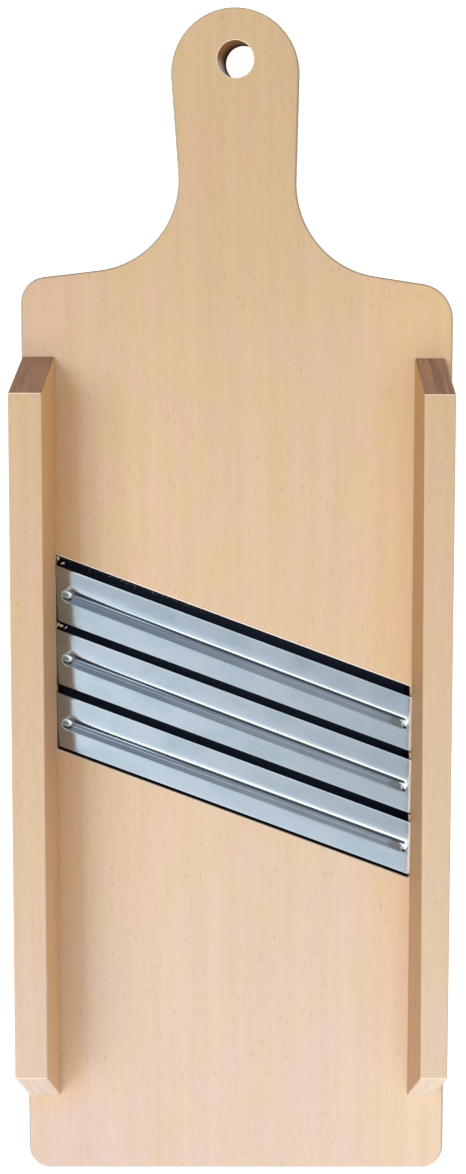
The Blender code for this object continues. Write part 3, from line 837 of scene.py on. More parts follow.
def blade_height(index, distance, board_x, along, across):
    """Height of the blade's face: its groove, leaning flat, lifted end and worked edges."""
    height = groove_height(index, along, across)
    height -= math.tan(LOWER_FLAT_LEANS[index]) * max(0.0, distance - GROOVE_END)
    height += RIGHT_END_LIFT * smooth_step(board_x, WINDOW_RIGHT_X - RIGHT_END_LIFT_LENGTH,
                                           WINDOW_RIGHT_X + RIGHT_END_LIFT_LENGTH)
    height += EDGE_TURN_UP * (1 - smooth_step(distance, 0.0, EDGE_TURN_WIDTH))
    height -= BACK_EDGE_ROLL * smooth_step(distance, BACK_EDGE_ROLL_START, BLADE_WIDTH)
    return height


def blade_sheet(index):
    """One blade as a closed sheet with a pressed groove, a ground edge and a few nicks."""
    columns = blade_columns()
    shape = bmesh.new()
    upper_rows = []
    lower_rows = []
    for distance in blade_rows():
        thick = BLADE_LAND + (BLADE_THICKNESS - BLADE_LAND) * min(1.0, distance / BLADE_GRIND)
        upper = []
        lower = []
        for board_x in columns:
            along = blade_x(board_x, -distance)
            across = skewed(index, distance, along)
            height = blade_height(index, distance, board_x, along, across)
            if distance == 0.0:
                nick = noise.noise((along * EDGE_NICKS_PER_METRE, index * SEED, 0.0))
                across -= EDGE_NICK * abs(nick)
            upper.append(shape.verts.new((along, across, height)))
            lower.append(shape.verts.new((along, across, height - thick)))
        upper_rows.append(upper)
        lower_rows.append(lower)
    grid_faces(shape, upper_rows)
    grid_faces(shape, lower_rows, flip=True)
    grid_faces(shape, [lower_rows[0], upper_rows[0]])
    grid_faces(shape, [upper_rows[-1], lower_rows[-1]])
    grid_faces(shape, [[row[0] for row in upper_rows], [row[0] for row in lower_rows]])
    grid_faces(shape, [[row[-1] for row in lower_rows], [row[-1] for row in upper_rows]])
    bmesh.ops.recalc_face_normals(shape, faces=shape.faces)
    return mesh_of(shape, f"blade_{index + 1}_steel")


def blade_mesh(index):
    """One blade with its brad holes, and with its painted shade and highlights kept as attributes.
    """
    blade = place_object(f"blade_{index + 1}_steel", blade_sheet(index), blade_matrix(index))
    places = BRAD_PLACES[2 * index:2 * index + 2]
    mesh = cut_mesh(blade, [brad_bore_tool(place, TOO_LONG, -TOO_LONG, BRAD_SIDES)
                            for place in places])
    shade_round(mesh)
    to_blade = blade_matrix(index).inverted()
    marks = [painted_light_at(index, *(to_blade @ vertex.co).xy) for vertex in mesh.vertices]
    for name, values in zip(("cover", "tone"), zip(*marks)):
        attribute = mesh.attributes.new(name, "FLOAT", "POINT")
        attribute.data.foreach_set("value", values)
    return mesh


# Fasteners, with their places

def screw_places():
    """The screws' places, from the frame's own screws."""
    places = []
    for name in SCREW_NAMES:
        low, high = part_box(name)
        middle = (low + high) / 2
        places.append(Matrix.Translation((middle.x, middle.y, low.z)))
    return places


def brad_places():
    """The brads' places, two to a blade, in the board's frame."""
    across = BRAD_FROM_TAIL - BLADE_WIDTH
    places = []
    for index in range(BLADE_COUNT):
        for board_x in (WINDOW_LEFT_X - BLADE_SEAT / 2, WINDOW_RIGHT_X + BLADE_SEAT / 2):
            on_blade = Matrix.Translation((blade_x(board_x, across), across, 0.0))
            places.append(blade_matrix(index) @ on_blade)
    return places


SCREW_PLACES = screw_places()
BRAD_PLACES = brad_places()


def screw_radius(level, turned, neck):
    """Radius of the screw at a height and a share of a turn; its thread starts past the neck."""
    if level <= SCREW_SINK:
        return SCREW_HEAD_RADIUS
    if level <= neck:
        return SCREW_CREST_RADIUS
    phase = (level / SCREW_THREAD_PITCH - turned) % 1.0
    crest = max(0.0, 1.0 - abs(phase - 0.5) * 4)
    radius = SCREW_CORE_RADIUS + (SCREW_CREST_RADIUS - SCREW_CORE_RADIUS) * crest
    return radius * min(1.0, (SCREW_LENGTH - level) / SCREW_TIP_LENGTH + SCREW_TIP_SHARE)


def screw_body():
    """The screw without its recess, from a ring of points at each level."""
    thread_bottom = SCREW_LENGTH - SCREW_TIP_LENGTH - SCREW_THREAD_LENGTH
    neck = (SCREW_HEAD_HEIGHT + thread_bottom) / 2
    steps = round(SCREW_THREAD_LENGTH / SCREW_THREAD_PITCH * THREAD_STEPS_PER_TURN)
    levels = [0.0, SCREW_SINK, SCREW_HEAD_HEIGHT, neck]
    levels += [thread_bottom + SCREW_THREAD_LENGTH * step / steps for step in range(steps + 1)]
    levels += [SCREW_LENGTH - SCREW_TIP_LENGTH * share for share in (0.75, 0.5, 0.25)]
    shape = bmesh.new()
    rings = []
    for level in levels:
        ring = []
        for side in range(SCREW_SIDES):
            turn = 2 * math.pi * side / SCREW_SIDES
            radius = screw_radius(level, side / SCREW_SIDES, neck)
            ring.append(shape.verts.new((radius * math.cos(turn), radius * math.sin(turn), level)))
        rings.append(ring)
    grid_faces(shape, [ring + ring[:1] for ring in rings])
    shape.faces.new(tuple(reversed(rings[0])))
    tip = shape.verts.new((0.0, 0.0, SCREW_LENGTH))
    last = rings[-1]
    for here, there in zip(last, last[1:] + last[:1]):
        shape.faces.new((here, there, tip))
    return mesh_of(shape, "screw")


def recess_tool(turn):
    """One slot of the screw's crossed recess, which is shorter at its bottom."""
    shape = bmesh.new()
    bmesh.ops.create_cube(shape, size=1.0)
    bmesh.ops.scale(shape, vec=(RECESS_SPAN, RECESS_SLOT, 2 * RECESS_DEPTH), verts=shape.verts)
    for vertex in shape.verts:
        if vertex.co.z > 0:
            vertex.co.x *= RECESS_BOTTOM_SHARE
    return place_object("recess", mesh_of(shape, "recess"), Matrix.Rotation(turn, 4, "Z"))


def screw_mesh():
    """A countersunk wood screw with a helical thread and a crossed recess, tip up."""
    screw = place_object("screw", screw_body())
    mesh = cut_mesh(screw, [recess_tool(turn) for turn in (0.0, QUARTER_TURN)])
    shade_round(mesh)
    return mesh


def brad_mesh():
    """A brad with its head on the blade, just over height zero, and its point down."""
    head_bottom = CLEARANCE
    head_top = CLEARANCE + BRAD_HEAD_HEIGHT
    point = head_bottom - BRAD_LENGTH
    profile = [
        (0.0, head_top),
        (BRAD_HEAD_RADIUS * BRAD_HEAD_TOP_SHARE, head_top),
        (BRAD_HEAD_RADIUS, head_top - BRAD_HEAD_HEIGHT * BRAD_HEAD_SLOPE_SHARE),
        (BRAD_HEAD_RADIUS, head_bottom),
        (BRAD_RADIUS, head_bottom),
        (BRAD_RADIUS, point + BRAD_TIP_LENGTH),
        (0.0, point),
    ]
    mesh = turned_mesh("brad", profile, BRAD_SIDES)
    shade_round(mesh)
    return mesh


# Node trees, and Geometry Nodes for what repeats

def new_tree(name, inputs):
    """A geometry node tree with named inputs after its Geometry."""
    tree = bpy.data.node_groups.new(name, "GeometryNodeTree")
    tree.interface.new_socket("Geometry", in_out="INPUT", socket_type="NodeSocketGeometry")
    for label, kind in inputs:
        tree.interface.new_socket(label, in_out="INPUT", socket_type=kind)
    tree.interface.new_socket("Geometry", in_out="OUTPUT", socket_type="NodeSocketGeometry")
    return tree


def feed(tree, node, inputs):
    """Gives a node's inputs their values, or links them to the sockets that feed them."""
    for name, value in inputs.items():
        if isinstance(value, bpy.types.NodeSocket):
            tree.links.new(value, node.inputs[name])
        else:
            node.inputs[name].default_value = value


def add_node(tree, kind, inputs=None, **settings):
    """A node with its settings and inputs; an input is a value or the socket that feeds it."""
    node = tree.nodes.new(kind)
    for name, value in settings.items():
        setattr(node, name, value)
    feed(tree, node, inputs or {})
    return node


def end_tree(tree, placed, finish):
    """Ends a tree: makes placed instances real and gives them their material."""
    real = add_node(tree, "GeometryNodeRealizeInstances", {"Geometry": placed})
    finished = add_node(tree, "GeometryNodeSetMaterial", {
        "Geometry": real.outputs[0], "Material": finish})
    add_node(tree, "NodeGroupOutput", {"Geometry": finished.outputs[0]})


def grown_mesh(name, tree, points, inputs):
    """The mesh that a tree makes on the points; its inputs are set by their identifiers."""
    mesh = bpy.data.meshes.new(name)
    mesh.from_pydata([tuple(point) for point in points], [], [])
    group = place_object(name, mesh)
    modifier = group.modifiers.new("grown", "NODES")
    modifier.node_group = tree
    for item in tree.interface.items_tree:
        if item.item_type == "SOCKET" and item.in_out == "INPUT" and item.name in inputs:
            modifier[item.identifier] = inputs[item.name]
    return frozen_mesh(group)


def fastener_tree():
    """Puts a copy of one fastener on each point of the geometry, all turned alike."""
    tree = new_tree("fasteners_on_points", [
        ("Fastener", "NodeSocketObject"),
        ("Turn", "NodeSocketRotation"),
        ("Finish", "NodeSocketMaterial"),
    ])
    given = add_node(tree, "NodeGroupInput")
    fastener = add_node(tree, "GeometryNodeObjectInfo", {"Object": given.outputs["Fastener"]})
    placed = add_node(tree, "GeometryNodeInstanceOnPoints", {
        "Points": given.outputs["Geometry"],
        "Instance": fastener.outputs["Geometry"],
        "Rotation": given.outputs["Turn"],
    })
    end_tree(tree, placed.outputs[0], given.outputs["Finish"])
    return tree


def fastener_group(name, tree, one, places, finish):
    """All the fasteners of a kind as one piece with separate solids."""
    template = place_object(name + "_template", one)
    mesh = grown_mesh(name, tree, [place.translation for place in places], {
        "Fastener": template,
        "Turn": places[0].to_euler(),
        "Finish": finish,
    })
    bpy.data.objects.remove(template)
    return place_object(name, mesh)


def fibre_tree():
    """Stands short curved fibres on the points, thinned to a point and turned at random."""
    tree = new_tree("torn_fibres", [
        ("Length", "NodeSocketFloat"),
        ("Radius", "NodeSocketFloat"),
        ("Seed", "NodeSocketInt"),
        ("Finish", "NodeSocketMaterial"),
    ])
    given = add_node(tree, "NodeGroupInput")
    curve = add_node(tree, "GeometryNodeCurveQuadraticBezier", {
        "Resolution": FIBRE_STEPS,
        "Start": (0.0, 0.0, -0.1),
        "Middle": (0.1, 0.0, 0.6),
        "End": (0.55, 0.0, 0.85),
    })
    along = add_node(tree, "GeometryNodeSplineParameter")
    thin = add_node(tree, "ShaderNodeMapRange", {
        "Value": along.outputs["Factor"], "To Min": 1.0, "To Max": FIBRE_TIP_SHARE})
    shaped = add_node(tree, "GeometryNodeSetCurveRadius", {
        "Curve": curve.outputs[0], "Radius": thin.outputs[0]})
    longer = add_node(tree, "ShaderNodeCombineXYZ", {
        "X": given.outputs["Length"], "Y": given.outputs["Length"], "Z": given.outputs["Length"]})
    sized = add_node(tree, "GeometryNodeTransform", {
        "Geometry": shaped.outputs[0], "Scale": longer.outputs[0]})
    ring = add_node(tree, "GeometryNodeCurvePrimitiveCircle", {
        "Resolution": FIBRE_SIDES, "Radius": given.outputs["Radius"]})
    fibre = add_node(tree, "GeometryNodeCurveToMesh", {
        "Curve": sized.outputs[0],
        "Profile Curve": ring.outputs[0],
        "Scale": add_node(tree, "GeometryNodeInputRadius").outputs[0],
        "Fill Caps": True,
    })
    turn = add_node(tree, "FunctionNodeRandomValue", {
        0: (-FIBRE_LEAN_X, -FIBRE_LEAN_Y, 0.0),
        1: (FIBRE_LEAN_X, FIBRE_LEAN_Y, 2 * math.pi),
        "Seed": given.outputs["Seed"],
    }, data_type="FLOAT_VECTOR")
    size = add_node(tree, "FunctionNodeRandomValue", {
        2: FIBRE_SIZES[0], 3: FIBRE_SIZES[1], "Seed": given.outputs["Seed"]}, data_type="FLOAT")
    placed = add_node(tree, "GeometryNodeInstanceOnPoints", {
        "Points": given.outputs["Geometry"],
        "Instance": fibre.outputs[0],
        "Rotation": turn.outputs[0],
        "Scale": size.outputs[1],
    })
    end_tree(tree, placed.outputs[0], given.outputs["Finish"])
    return tree


def fibre_points():
    """Where fibres stand: thick at the left end of the first slot's wall, then thinning out."""
    drawn = random.Random(SEED)
    points = []
    for _ in range(FIBRE_COUNT):
        share = drawn.random() ** FIBRE_CROWDING
        x = WINDOW_LEFT_X + FIBRE_FROM_WALL + share * FIBRE_STRETCH
        drop = drawn.uniform(*FIBRE_DROPS)
        points.append((x, window_top(x) - drop, BOARD_TOP - drawn.uniform(*FIBRE_DEPTHS)))
    return points


def crumb_points():
    """Where crumbs cling: in the left corners of the first two slots."""
    drawn = random.Random(SEED)
    first = window_top(WINDOW_LEFT_X)
    corners = (first, first - (BLADE_PITCH + FIRST_SLOT) / math.cos(WINDOW_SLOPE))
    points = []
    for slot, from_wall, from_corner, spread, count in CRUMB_HEAPS:
        y = corners[slot] + from_corner
        for _ in range(count):
            x = WINDOW_LEFT_X + max(CRUMB_OFF_WALL, from_wall + drawn.uniform(-spread, spread))
            z = BOARD_TOP - drawn.uniform(-CRUMB_RISE, CRUMB_RISE)
            points.append((x, y + drawn.uniform(-spread, spread), z))
    return points


def torn_group(name, tree, points, length, radius, finish):
    """Fibres or crumbs of one size on the points, as one piece."""
    return place_object(name, grown_mesh(name, tree, points, {
        "Length": length,
        "Radius": radius,
        "Seed": SEED,
        "Finish": finish,
    }))


# Shader nodes

def shader_group(name, inputs, outputs):
    """A shader node group with its input and output nodes."""
    group = bpy.data.node_groups.new(name, "ShaderNodeTree")
    for label, kind, value in inputs:
        socket = group.interface.new_socket(label, in_out="INPUT", socket_type=kind)
        if value is not None:
            socket.default_value = value
    for label, kind in outputs:
        group.interface.new_socket(label, in_out="OUTPUT", socket_type=kind)
    return group, add_node(group, "NodeGroupInput"), add_node(group, "NodeGroupOutput")


def scaled(tree, vector, scale):
    """The vector times a scale on each axis."""
    node = add_node(tree, "ShaderNodeVectorMath", {0: vector, 1: scale}, operation="MULTIPLY")
    return node.outputs[0]


def noise_value(tree, vector, scale, detail=2.0, roughness=0.5):
    """Noise of the vector, with its cells to a metre along each axis."""
    node = add_node(tree, "ShaderNodeTexNoise", {
        "Vector": scaled(tree, vector, scale), "Scale": 1.0, "Detail": detail,
        "Roughness": roughness})
    return node.outputs["Fac"]


def calc(tree, operation, first, second=0.0, third=0.0, clamp=False):
    """One step of arithmetic."""
    node = add_node(tree, "ShaderNodeMath", {0: first, 1: second, 2: third},
                    operation=operation, use_clamp=clamp)
    return node.outputs[0]


def product(tree, first, *others):
    """The values multiplied together."""
    for other in others:
        first = calc(tree, "MULTIPLY", first, other)
    return first


def axes(tree, vector):
    """The X, Y and Z of a vector."""
    return add_node(tree, "ShaderNodeSeparateXYZ", {"Vector": vector}).outputs[:3]


def ramp(tree, value, low, high, to_low=0.0, to_high=1.0):
    """The value's smooth rise from to_low at low to to_high at high."""
    node = add_node(tree, "ShaderNodeMapRange", {
        "Value": value, "From Min": low, "From Max": high, "To Min": to_low, "To Max": to_high},
        interpolation_type="SMOOTHSTEP")
    return node.outputs["Result"]


def inside(tree, value, low, high, soft):
    """1 where the value lies between low and high and 0 outside, with soft steps between."""
    return product(tree, ramp(tree, value, low, low + soft), ramp(tree, value, high, high - soft))


def mixed(tree, factor, first, second, blend="MIX"):
    """Two colours mixed by a factor."""
    node = add_node(tree, "ShaderNodeMix", {0: factor, 6: first, 7: second},
                    data_type="RGBA", blend_type=blend)
    return node.outputs[2]


def relief(tree, height, strength):
    """The surface's normal with a fine relief."""
    node = add_node(tree, "ShaderNodeBump", {
        "Height": height, "Strength": strength, "Distance": RELIEF_HEIGHT})
    return node.outputs[0]


def beech_group():
    """Beech: soft streaks along Y, short dark rays, pores, and rings on the end grain."""
    color = "NodeSocketColor"
    number = "NodeSocketFloat"
    group, given, result = shader_group("beech_grain", [
        ("Vector", "NodeSocketVector", None),
        ("Place", "NodeSocketVector", None),
        ("Normal", "NodeSocketVector", None),
        ("Pale", color, (0.8, 0.6, 0.4, 1.0)),
        ("Deep", color, (0.6, 0.4, 0.25, 1.0)),
        ("Ray", color, (0.4, 0.22, 0.12, 1.0)),
        ("End", color, (0.5, 0.33, 0.2, 1.0)),
        ("Fresh End", color, (0.8, 0.65, 0.5, 1.0)),
        ("Contrast", number, 1.0),
        ("Ray Strength", number, 0.5),
    ], [("Color", color), ("Roughness", number), ("Height", number)])
    vector = given.outputs["Vector"]
    wander = noise_value(group, vector, (9.0, 4.0, 9.0))
    shift = calc(group, "MULTIPLY_ADD", wander, 0.010, -0.005)
    aside = add_node(group, "ShaderNodeCombineXYZ", {"X": shift}).outputs[0]
    bent = add_node(group, "ShaderNodeVectorMath", {0: vector, 1: aside},
                    operation="ADD").outputs[0]
    broad = noise_value(group, bent, (34.0, 1.7, 34.0))
    streak = noise_value(group, bent, (210.0, 5.0, 210.0), 3.0)
    fine = noise_value(group, bent, (1500.0, 30.0, 1500.0))

    # Streaks along the grain
    tone = calc(group, "MULTIPLY_ADD", broad, 0.9, -0.45)
    tone = calc(group, "ADD", tone, calc(group, "MULTIPLY_ADD", streak, 1.2, -0.6))
    tone = calc(group, "ADD", tone, calc(group, "MULTIPLY_ADD", fine, 0.7, -0.35))
    tone = calc(group, "MULTIPLY_ADD", tone, given.outputs["Contrast"], 0.5, clamp=True)
    along = mixed(group, tone, given.outputs["Deep"], given.outputs["Pale"])
    patch = ramp(group, noise_value(group, vector, (95.0, 36.0, 95.0), 3.0), 0.36, 0.64)
    hue = mixed(group, patch, (0.995, 1.005, 0.955, 1.0), (1.005, 0.990, 1.035, 1.0))
    along = mixed(group, 1.0, along, hue, "MULTIPLY")

    # Rays and pores
    cells = add_node(group, "ShaderNodeTexVoronoi", {
        "Vector": scaled(group, bent, (400.0, 190.0, 400.0)), "Scale": 1.0, "Randomness": 1.0},
        feature="F1")
    near = ramp(group, cells.outputs["Distance"], 0.04, 0.30, 1.0, 0.0)
    picked = add_node(group, "ShaderNodeSeparateColor", {"Color": cells.outputs["Color"]})
    chosen = ramp(group, picked.outputs[0], 0.20, 0.90)
    ray = product(group, near, chosen, given.outputs["Ray Strength"])
    rayed = mixed(group, ray, along, given.outputs["Ray"])
    pores = noise_value(group, bent, (2600.0, 160.0, 2600.0), 1.0)
    pore = ramp(group, pores, 0.60, 0.78)
    pored = mixed(group, product(group, pore, 0.16), rayed, given.outputs["Ray"])

    # End grain, paler towards the foot: partly its own tone, partly painted light on the ends
    # facing the foot
    bands = noise_value(group, vector, (480.0, 45.0, 45.0))
    band = ramp(group, bands, 0.38, 0.66)
    dots = noise_value(group, vector, (2300.0, 700.0, 2300.0), 1.0)
    dotted = product(group, ramp(group, dots, 0.5, 0.75), 0.25)
    end_dark = calc(group, "MULTIPLY_ADD", band, 0.85, dotted, clamp=True)
    foot_end_tone_and_light = ramp(group, axes(group, given.outputs["Place"])[1], *FOOT_ENDS_TONE_AND_LIGHT)
    end_dark = product(group, end_dark, calc(group, "MULTIPLY_ADD", foot_end_tone_and_light, -0.8, 1.0))
    end_pale = mixed(group, foot_end_tone_and_light, given.outputs["End"], given.outputs["Fresh End"])
    end = mixed(group, end_dark, end_pale, (0.34, 0.20, 0.145, 1.0))
    lengthways = calc(group, "ABSOLUTE", axes(group, given.outputs["Normal"])[1])
    end_share = ramp(group, lengthways, 0.35, 0.66)

    feed(group, result, {
        "Color": mixed(group, end_share, pored, end),
        "Roughness": calc(group, "MULTIPLY_ADD", fine, 0.16, 0.50),
        "Height": calc(group, "MULTIPLY_ADD", fine, 0.5, product(group, pore, -0.7)),
    })
    return group


def steel_group():
    """Rolled steel: fine lines along X, faint cloudy marks and a little waviness."""
    number = "NodeSocketFloat"
    group, given, result = shader_group("rolled_steel", [
        ("Vector", "NodeSocketVector", None),
        ("Line Strength", number, 1.0),
    ], [("Cloud", number), ("Roughness", number), ("Height", number)])
    vector = given.outputs["Vector"]
    lines = noise_value(group, vector, (25.0, 5200.0, 400.0))
    broad = noise_value(group, vector, (8.0, 900.0, 90.0))
    cloud = noise_value(group, vector, (55.0, 110.0, 110.0), 4.0, 0.6)
    wave = noise_value(group, vector, (28.0, 60.0, 60.0), 1.0)
    both = calc(group, "MULTIPLY_ADD", lines, 0.6, product(group, broad, 0.4))
    rough = calc(group, "MULTIPLY_ADD", both, 0.06, 0.10)
    ridges = product(group, both, product(group, given.outputs["Line Strength"], 0.02))
    feed(group, result, {
        "Cloud": cloud,
        "Roughness": calc(group, "ADD", rough, ramp(group, cloud, 0.5, 0.75, 0.0, 0.07)),
        "Height": calc(group, "ADD", ridges, wave),
    })
    return group


def new_material(name):
    """A material with its tree, its shader and its object coordinates."""
    material = bpy.data.materials.new(name)
    material.use_nodes = True
    tree = material.node_tree
    shader = tree.nodes["Principled BSDF"]
    coordinates = add_node(tree, "ShaderNodeTexCoord")
    return material, tree, shader, coordinates


def wood_material(name, group, colors, tints, offset, inner_side):
    """Sanded beech, with painted light towards the foot and painted shade towards the handle,
    and painted highlights and shades on each piece's edges, sides and walls.

    inner_side is the way along X that a rail's inner side faces, and 0 for the board.
    """
    material, tree, shader, coordinates = new_material(name)
    place = coordinates.outputs["Object"]
    moved = add_node(tree, "ShaderNodeMapping", {"Vector": place, "Location": offset})
    grain = add_node(tree, "ShaderNodeGroup", {
        "Vector": moved.outputs[0],
        "Place": place,
        "Normal": coordinates.outputs["Normal"],
        "Contrast": GRAIN_CONTRAST,
        "Ray Strength": GRAIN_RAYS,
        **{socket: (*color, 1.0) for socket, color in colors.items()},
    }, node_tree=group)
    places = axes(tree, place)
    facing = axes(tree, coordinates.outputs["Normal"])
    # Painted light towards the foot, painted shade towards the handle, and painted light or shade
    # on one side
    foot, handle, side = [(*tints[key], 1.0) for key in ("Foot Light", "Handle Shade", "Side")]
    foot_light_share = ramp(tree, places[1], *FOOT_LIGHT_STRETCH)
    handle_shade_share = ramp(tree, places[1], *HANDLE_SHADE_STRETCH)
    color = mixed(tree, foot_light_share, grain.outputs["Color"], foot, "MULTIPLY")
    color = mixed(tree, handle_shade_share, color, handle, "MULTIPLY")
    roughness = grain.outputs["Roughness"]
    if inner_side:
        # A rail's inner side: painted bounce light on the left rail, painted shade on the right
        # rail
        side_light_share = ramp(tree, facing[0], 0.3 * inner_side, 0.9 * inner_side)
        color = mixed(tree, side_light_share, color, side, "MULTIPLY")
        color = painted_ridge_highlight(tree, facing, color)
    else:
        color = painted_board_light_and_shade(tree, places, color, side)
        color = painted_edge_shade(tree, facing, color)
        color, wall_shade = painted_wall_shade_and_rims(tree, places, facing, color)
        roughness = calc(tree, "MAXIMUM", roughness, wall_shade)
    feed(tree, shader, {
        "Base Color": color,
        "Roughness": roughness,
        "Normal": relief(tree, grain.outputs["Height"], 0.35),
        "Specular IOR Level": 0.12,
    })
    return material


def painted_board_light_and_shade(tree, places, color, side):
    """Painted light and shade: the board lighter at its right, darker at its left and by the left
    rail.
    """
    x, y, _ = places
    color = mixed(tree, ramp(tree, x, *RIGHT_SIDE_LIGHT), color, side, "MULTIPLY")
    past_rail = calc(tree, "MAXIMUM", ramp(tree, y, *PAST_RAIL_FOOT),
                     ramp(tree, y, *PAST_RAIL_HEAD))
    left_shade_tint = mixed(tree, past_rail, (0.96, 0.95, 0.92, 1.0), (0.965, 0.96, 0.99, 1.0))
    color = mixed(tree, ramp(tree, x, *LEFT_SIDE_SHADE), color, left_shade_tint, "MULTIPLY")
    rail_shade_tint = mixed(tree, past_rail, (0.99, 0.92, 0.80, 1.0), (0.99, 0.97, 0.98, 1.0))
    return mixed(tree, ramp(tree, x, *BESIDE_LEFT_RAIL_SHADE), color, rail_shade_tint, "MULTIPLY")


def painted_ridge_highlight(tree, facing, color):
    """Painted highlight: pales the rounded ridges between a rail's top and its sawn ends."""
    slope = calc(tree, "ABSOLUTE", facing[1])
    ridge = product(tree, ramp(tree, slope, 0.05, 0.20), ramp(tree, slope, 0.64, 0.45),
                    ramp(tree, facing[2], 0.60, 0.75))
    return mixed(tree, ridge, color, (0.95, 0.80, 0.66, 1.0))


def painted_edge_shade(tree, facing, color):
    """Painted shade: greys the board's rounded outer edges."""
    upright = calc(tree, "ABSOLUTE", facing[2])
    turned = product(tree, ramp(tree, upright, 0.995, 0.90), ramp(tree, upright, 0.10, 0.45))
    return mixed(tree, turned, color, (0.72, 0.86, 1.04, 1.0), "MULTIPLY")


def painted_wall_shade_and_rims(tree, places, facing, color):
    """Paints shade on the walls of the window and the hole, under a painted highlight on the rim.

    Gives the colour, and the share of the walls that is painted in shade, which is dull.
    """
    x, y, z = places
    upward = facing[2]
    wall = ramp(tree, calc(tree, "ABSOLUTE", upward), 0.85, 0.6)
    side = -WINDOW_LEFT_X + 2 * WALL_SHADE_SOFT
    at_window = product(tree, inside(tree, x, -side, side, WALL_SHADE_SOFT), inside(
        tree, y, WALL_SHADE_FOOT_Y, WALL_SHADE_HANDLE_Y, WALL_SHADE_STRETCH_SOFT))
    hole = hole_place()
    room = 2 * HOLE_RADIUS
    at_hole = product(tree, inside(tree, x, hole.x - room, hole.x + room, WALL_SHADE_SOFT),
                      inside(tree, y, hole.y - room, hole.y + room, WALL_SHADE_SOFT))
    full = BOARD_TOP - WALL_SHADE_FULL_DEPTH
    in_window = product(tree, at_window, ramp(tree, z, BOARD_TOP - WALL_SHADE_RIM_DEPTH, full))
    in_hole = product(tree, at_hole, ramp(tree, z, full, BOARD_LOW.z))
    wall_shade = product(tree, calc(tree, "MAXIMUM", in_window, in_hole), wall)
    hole_wall_brown_shade = product(tree, at_hole, wall)
    # Painted highlight: a pale rim round the window and the hole
    rim = product(tree, ramp(tree, upward, 0.998, 0.96), ramp(tree, upward, 0.15, 0.40),
                  calc(tree, "MAXIMUM", at_window, at_hole))
    color = mixed(tree, hole_wall_brown_shade, color, (0.50, 0.25, 0.10, 1.0))
    color = mixed(tree, rim, color, (1.0, 0.93, 0.86, 1.0))
    color = mixed(tree, wall_shade, color, (0.030, 0.016, 0.010, 1.0))
    return color, calc(tree, "MAXIMUM", wall_shade, hole_wall_brown_shade)


def steel_material(name, group):
    """Bright rolled strip steel, with painted shade and painted highlights read from the piece's
    attributes.
    """
    material, tree, shader, coordinates = new_material(name)
    turned = add_node(tree, "ShaderNodeMapping", {
        "Vector": coordinates.outputs["Object"], "Rotation": (0.0, 0.0, WINDOW_SLOPE)})
    steel = add_node(tree, "ShaderNodeGroup", {"Vector": turned.outputs[0], "Line Strength": 1.0},
                     node_tree=group)
    # Where cover is high, the steel is hidden under a colour from painted shade (dark) to painted
    # highlight (pale)
    cover = add_node(tree, "ShaderNodeAttribute", attribute_name="cover").outputs["Fac"]
    tone = add_node(tree, "ShaderNodeAttribute", attribute_name="tone").outputs["Fac"]
    clean = (0.415, 0.50, 0.605, 1.0)
    stained = (0.345, 0.44, 0.53, 1.0)
    painted_shade_tone = (0.010, 0.012, 0.026, 1.0)
    glint = (0.82, 0.93, 1.0, 1.0)
    color = mixed(tree, ramp(tree, steel.outputs["Cloud"], 0.35, 0.75), clean, stained)
    color = mixed(tree, cover, color, mixed(tree, tone, painted_shade_tone, glint))
    # Painted reflection: a pale pinkish, rougher band at the blades' right ends, for the rail's
    # light seen in the steel
    painted_end_sheen = ramp(tree, axes(tree, coordinates.outputs["Object"])[0],
                WINDOW_RIGHT_X - 0.0008, WINDOW_RIGHT_X + 0.0004)
    roughness = calc(tree, "MULTIPLY_ADD", painted_end_sheen, 0.5, steel.outputs["Roughness"])
    dull = product(tree, cover, ramp(tree, tone, 0.95, 0.6))
    feed(tree, shader, {
        "Base Color": mixed(tree, painted_end_sheen, color, (0.90, 0.82, 0.76, 1.0)),
        "Metallic": calc(tree, "SUBTRACT", 1.0, dull),
        "Roughness": calc(tree, "MULTIPLY_ADD", cover, 0.4, roughness),
        "Normal": relief(tree, steel.outputs["Height"], 0.25),
        "Specular IOR Level": 0.1,
    })
    return material


def plated_material(name, group):
    """Zinc plated steel, a little dull."""
    material, tree, shader, coordinates = new_material(name)
    steel = add_node(tree, "ShaderNodeGroup", {"Vector": coordinates.outputs["Object"]},
                     node_tree=group)
    bright = (0.66, 0.64, 0.60, 1.0)
    dull = (0.45, 0.44, 0.42, 1.0)
    share = ramp(tree, steel.outputs["Cloud"], 0.35, 0.7)
    feed(tree, shader, {
        "Base Color": mixed(tree, share, bright, dull),
        "Roughness": calc(tree, "ADD", steel.outputs["Roughness"], 0.18),
        "Metallic": 1.0,
    })
    return material


def fibre_material(name, brown, pale):
    """Loose torn wood, from brown to pale at random."""
    material, tree, shader, coordinates = new_material(name)
    speckle = noise_value(tree, coordinates.outputs["Object"], (900.0, 900.0, 900.0), 1.0)
    share = ramp(tree, speckle, 0.40, 0.60)
    feed(tree, shader, {"Base Color": mixed(tree, share, brown, pale), "Roughness": 0.8})
    return material


# Stage: floor, world, lamps and camera

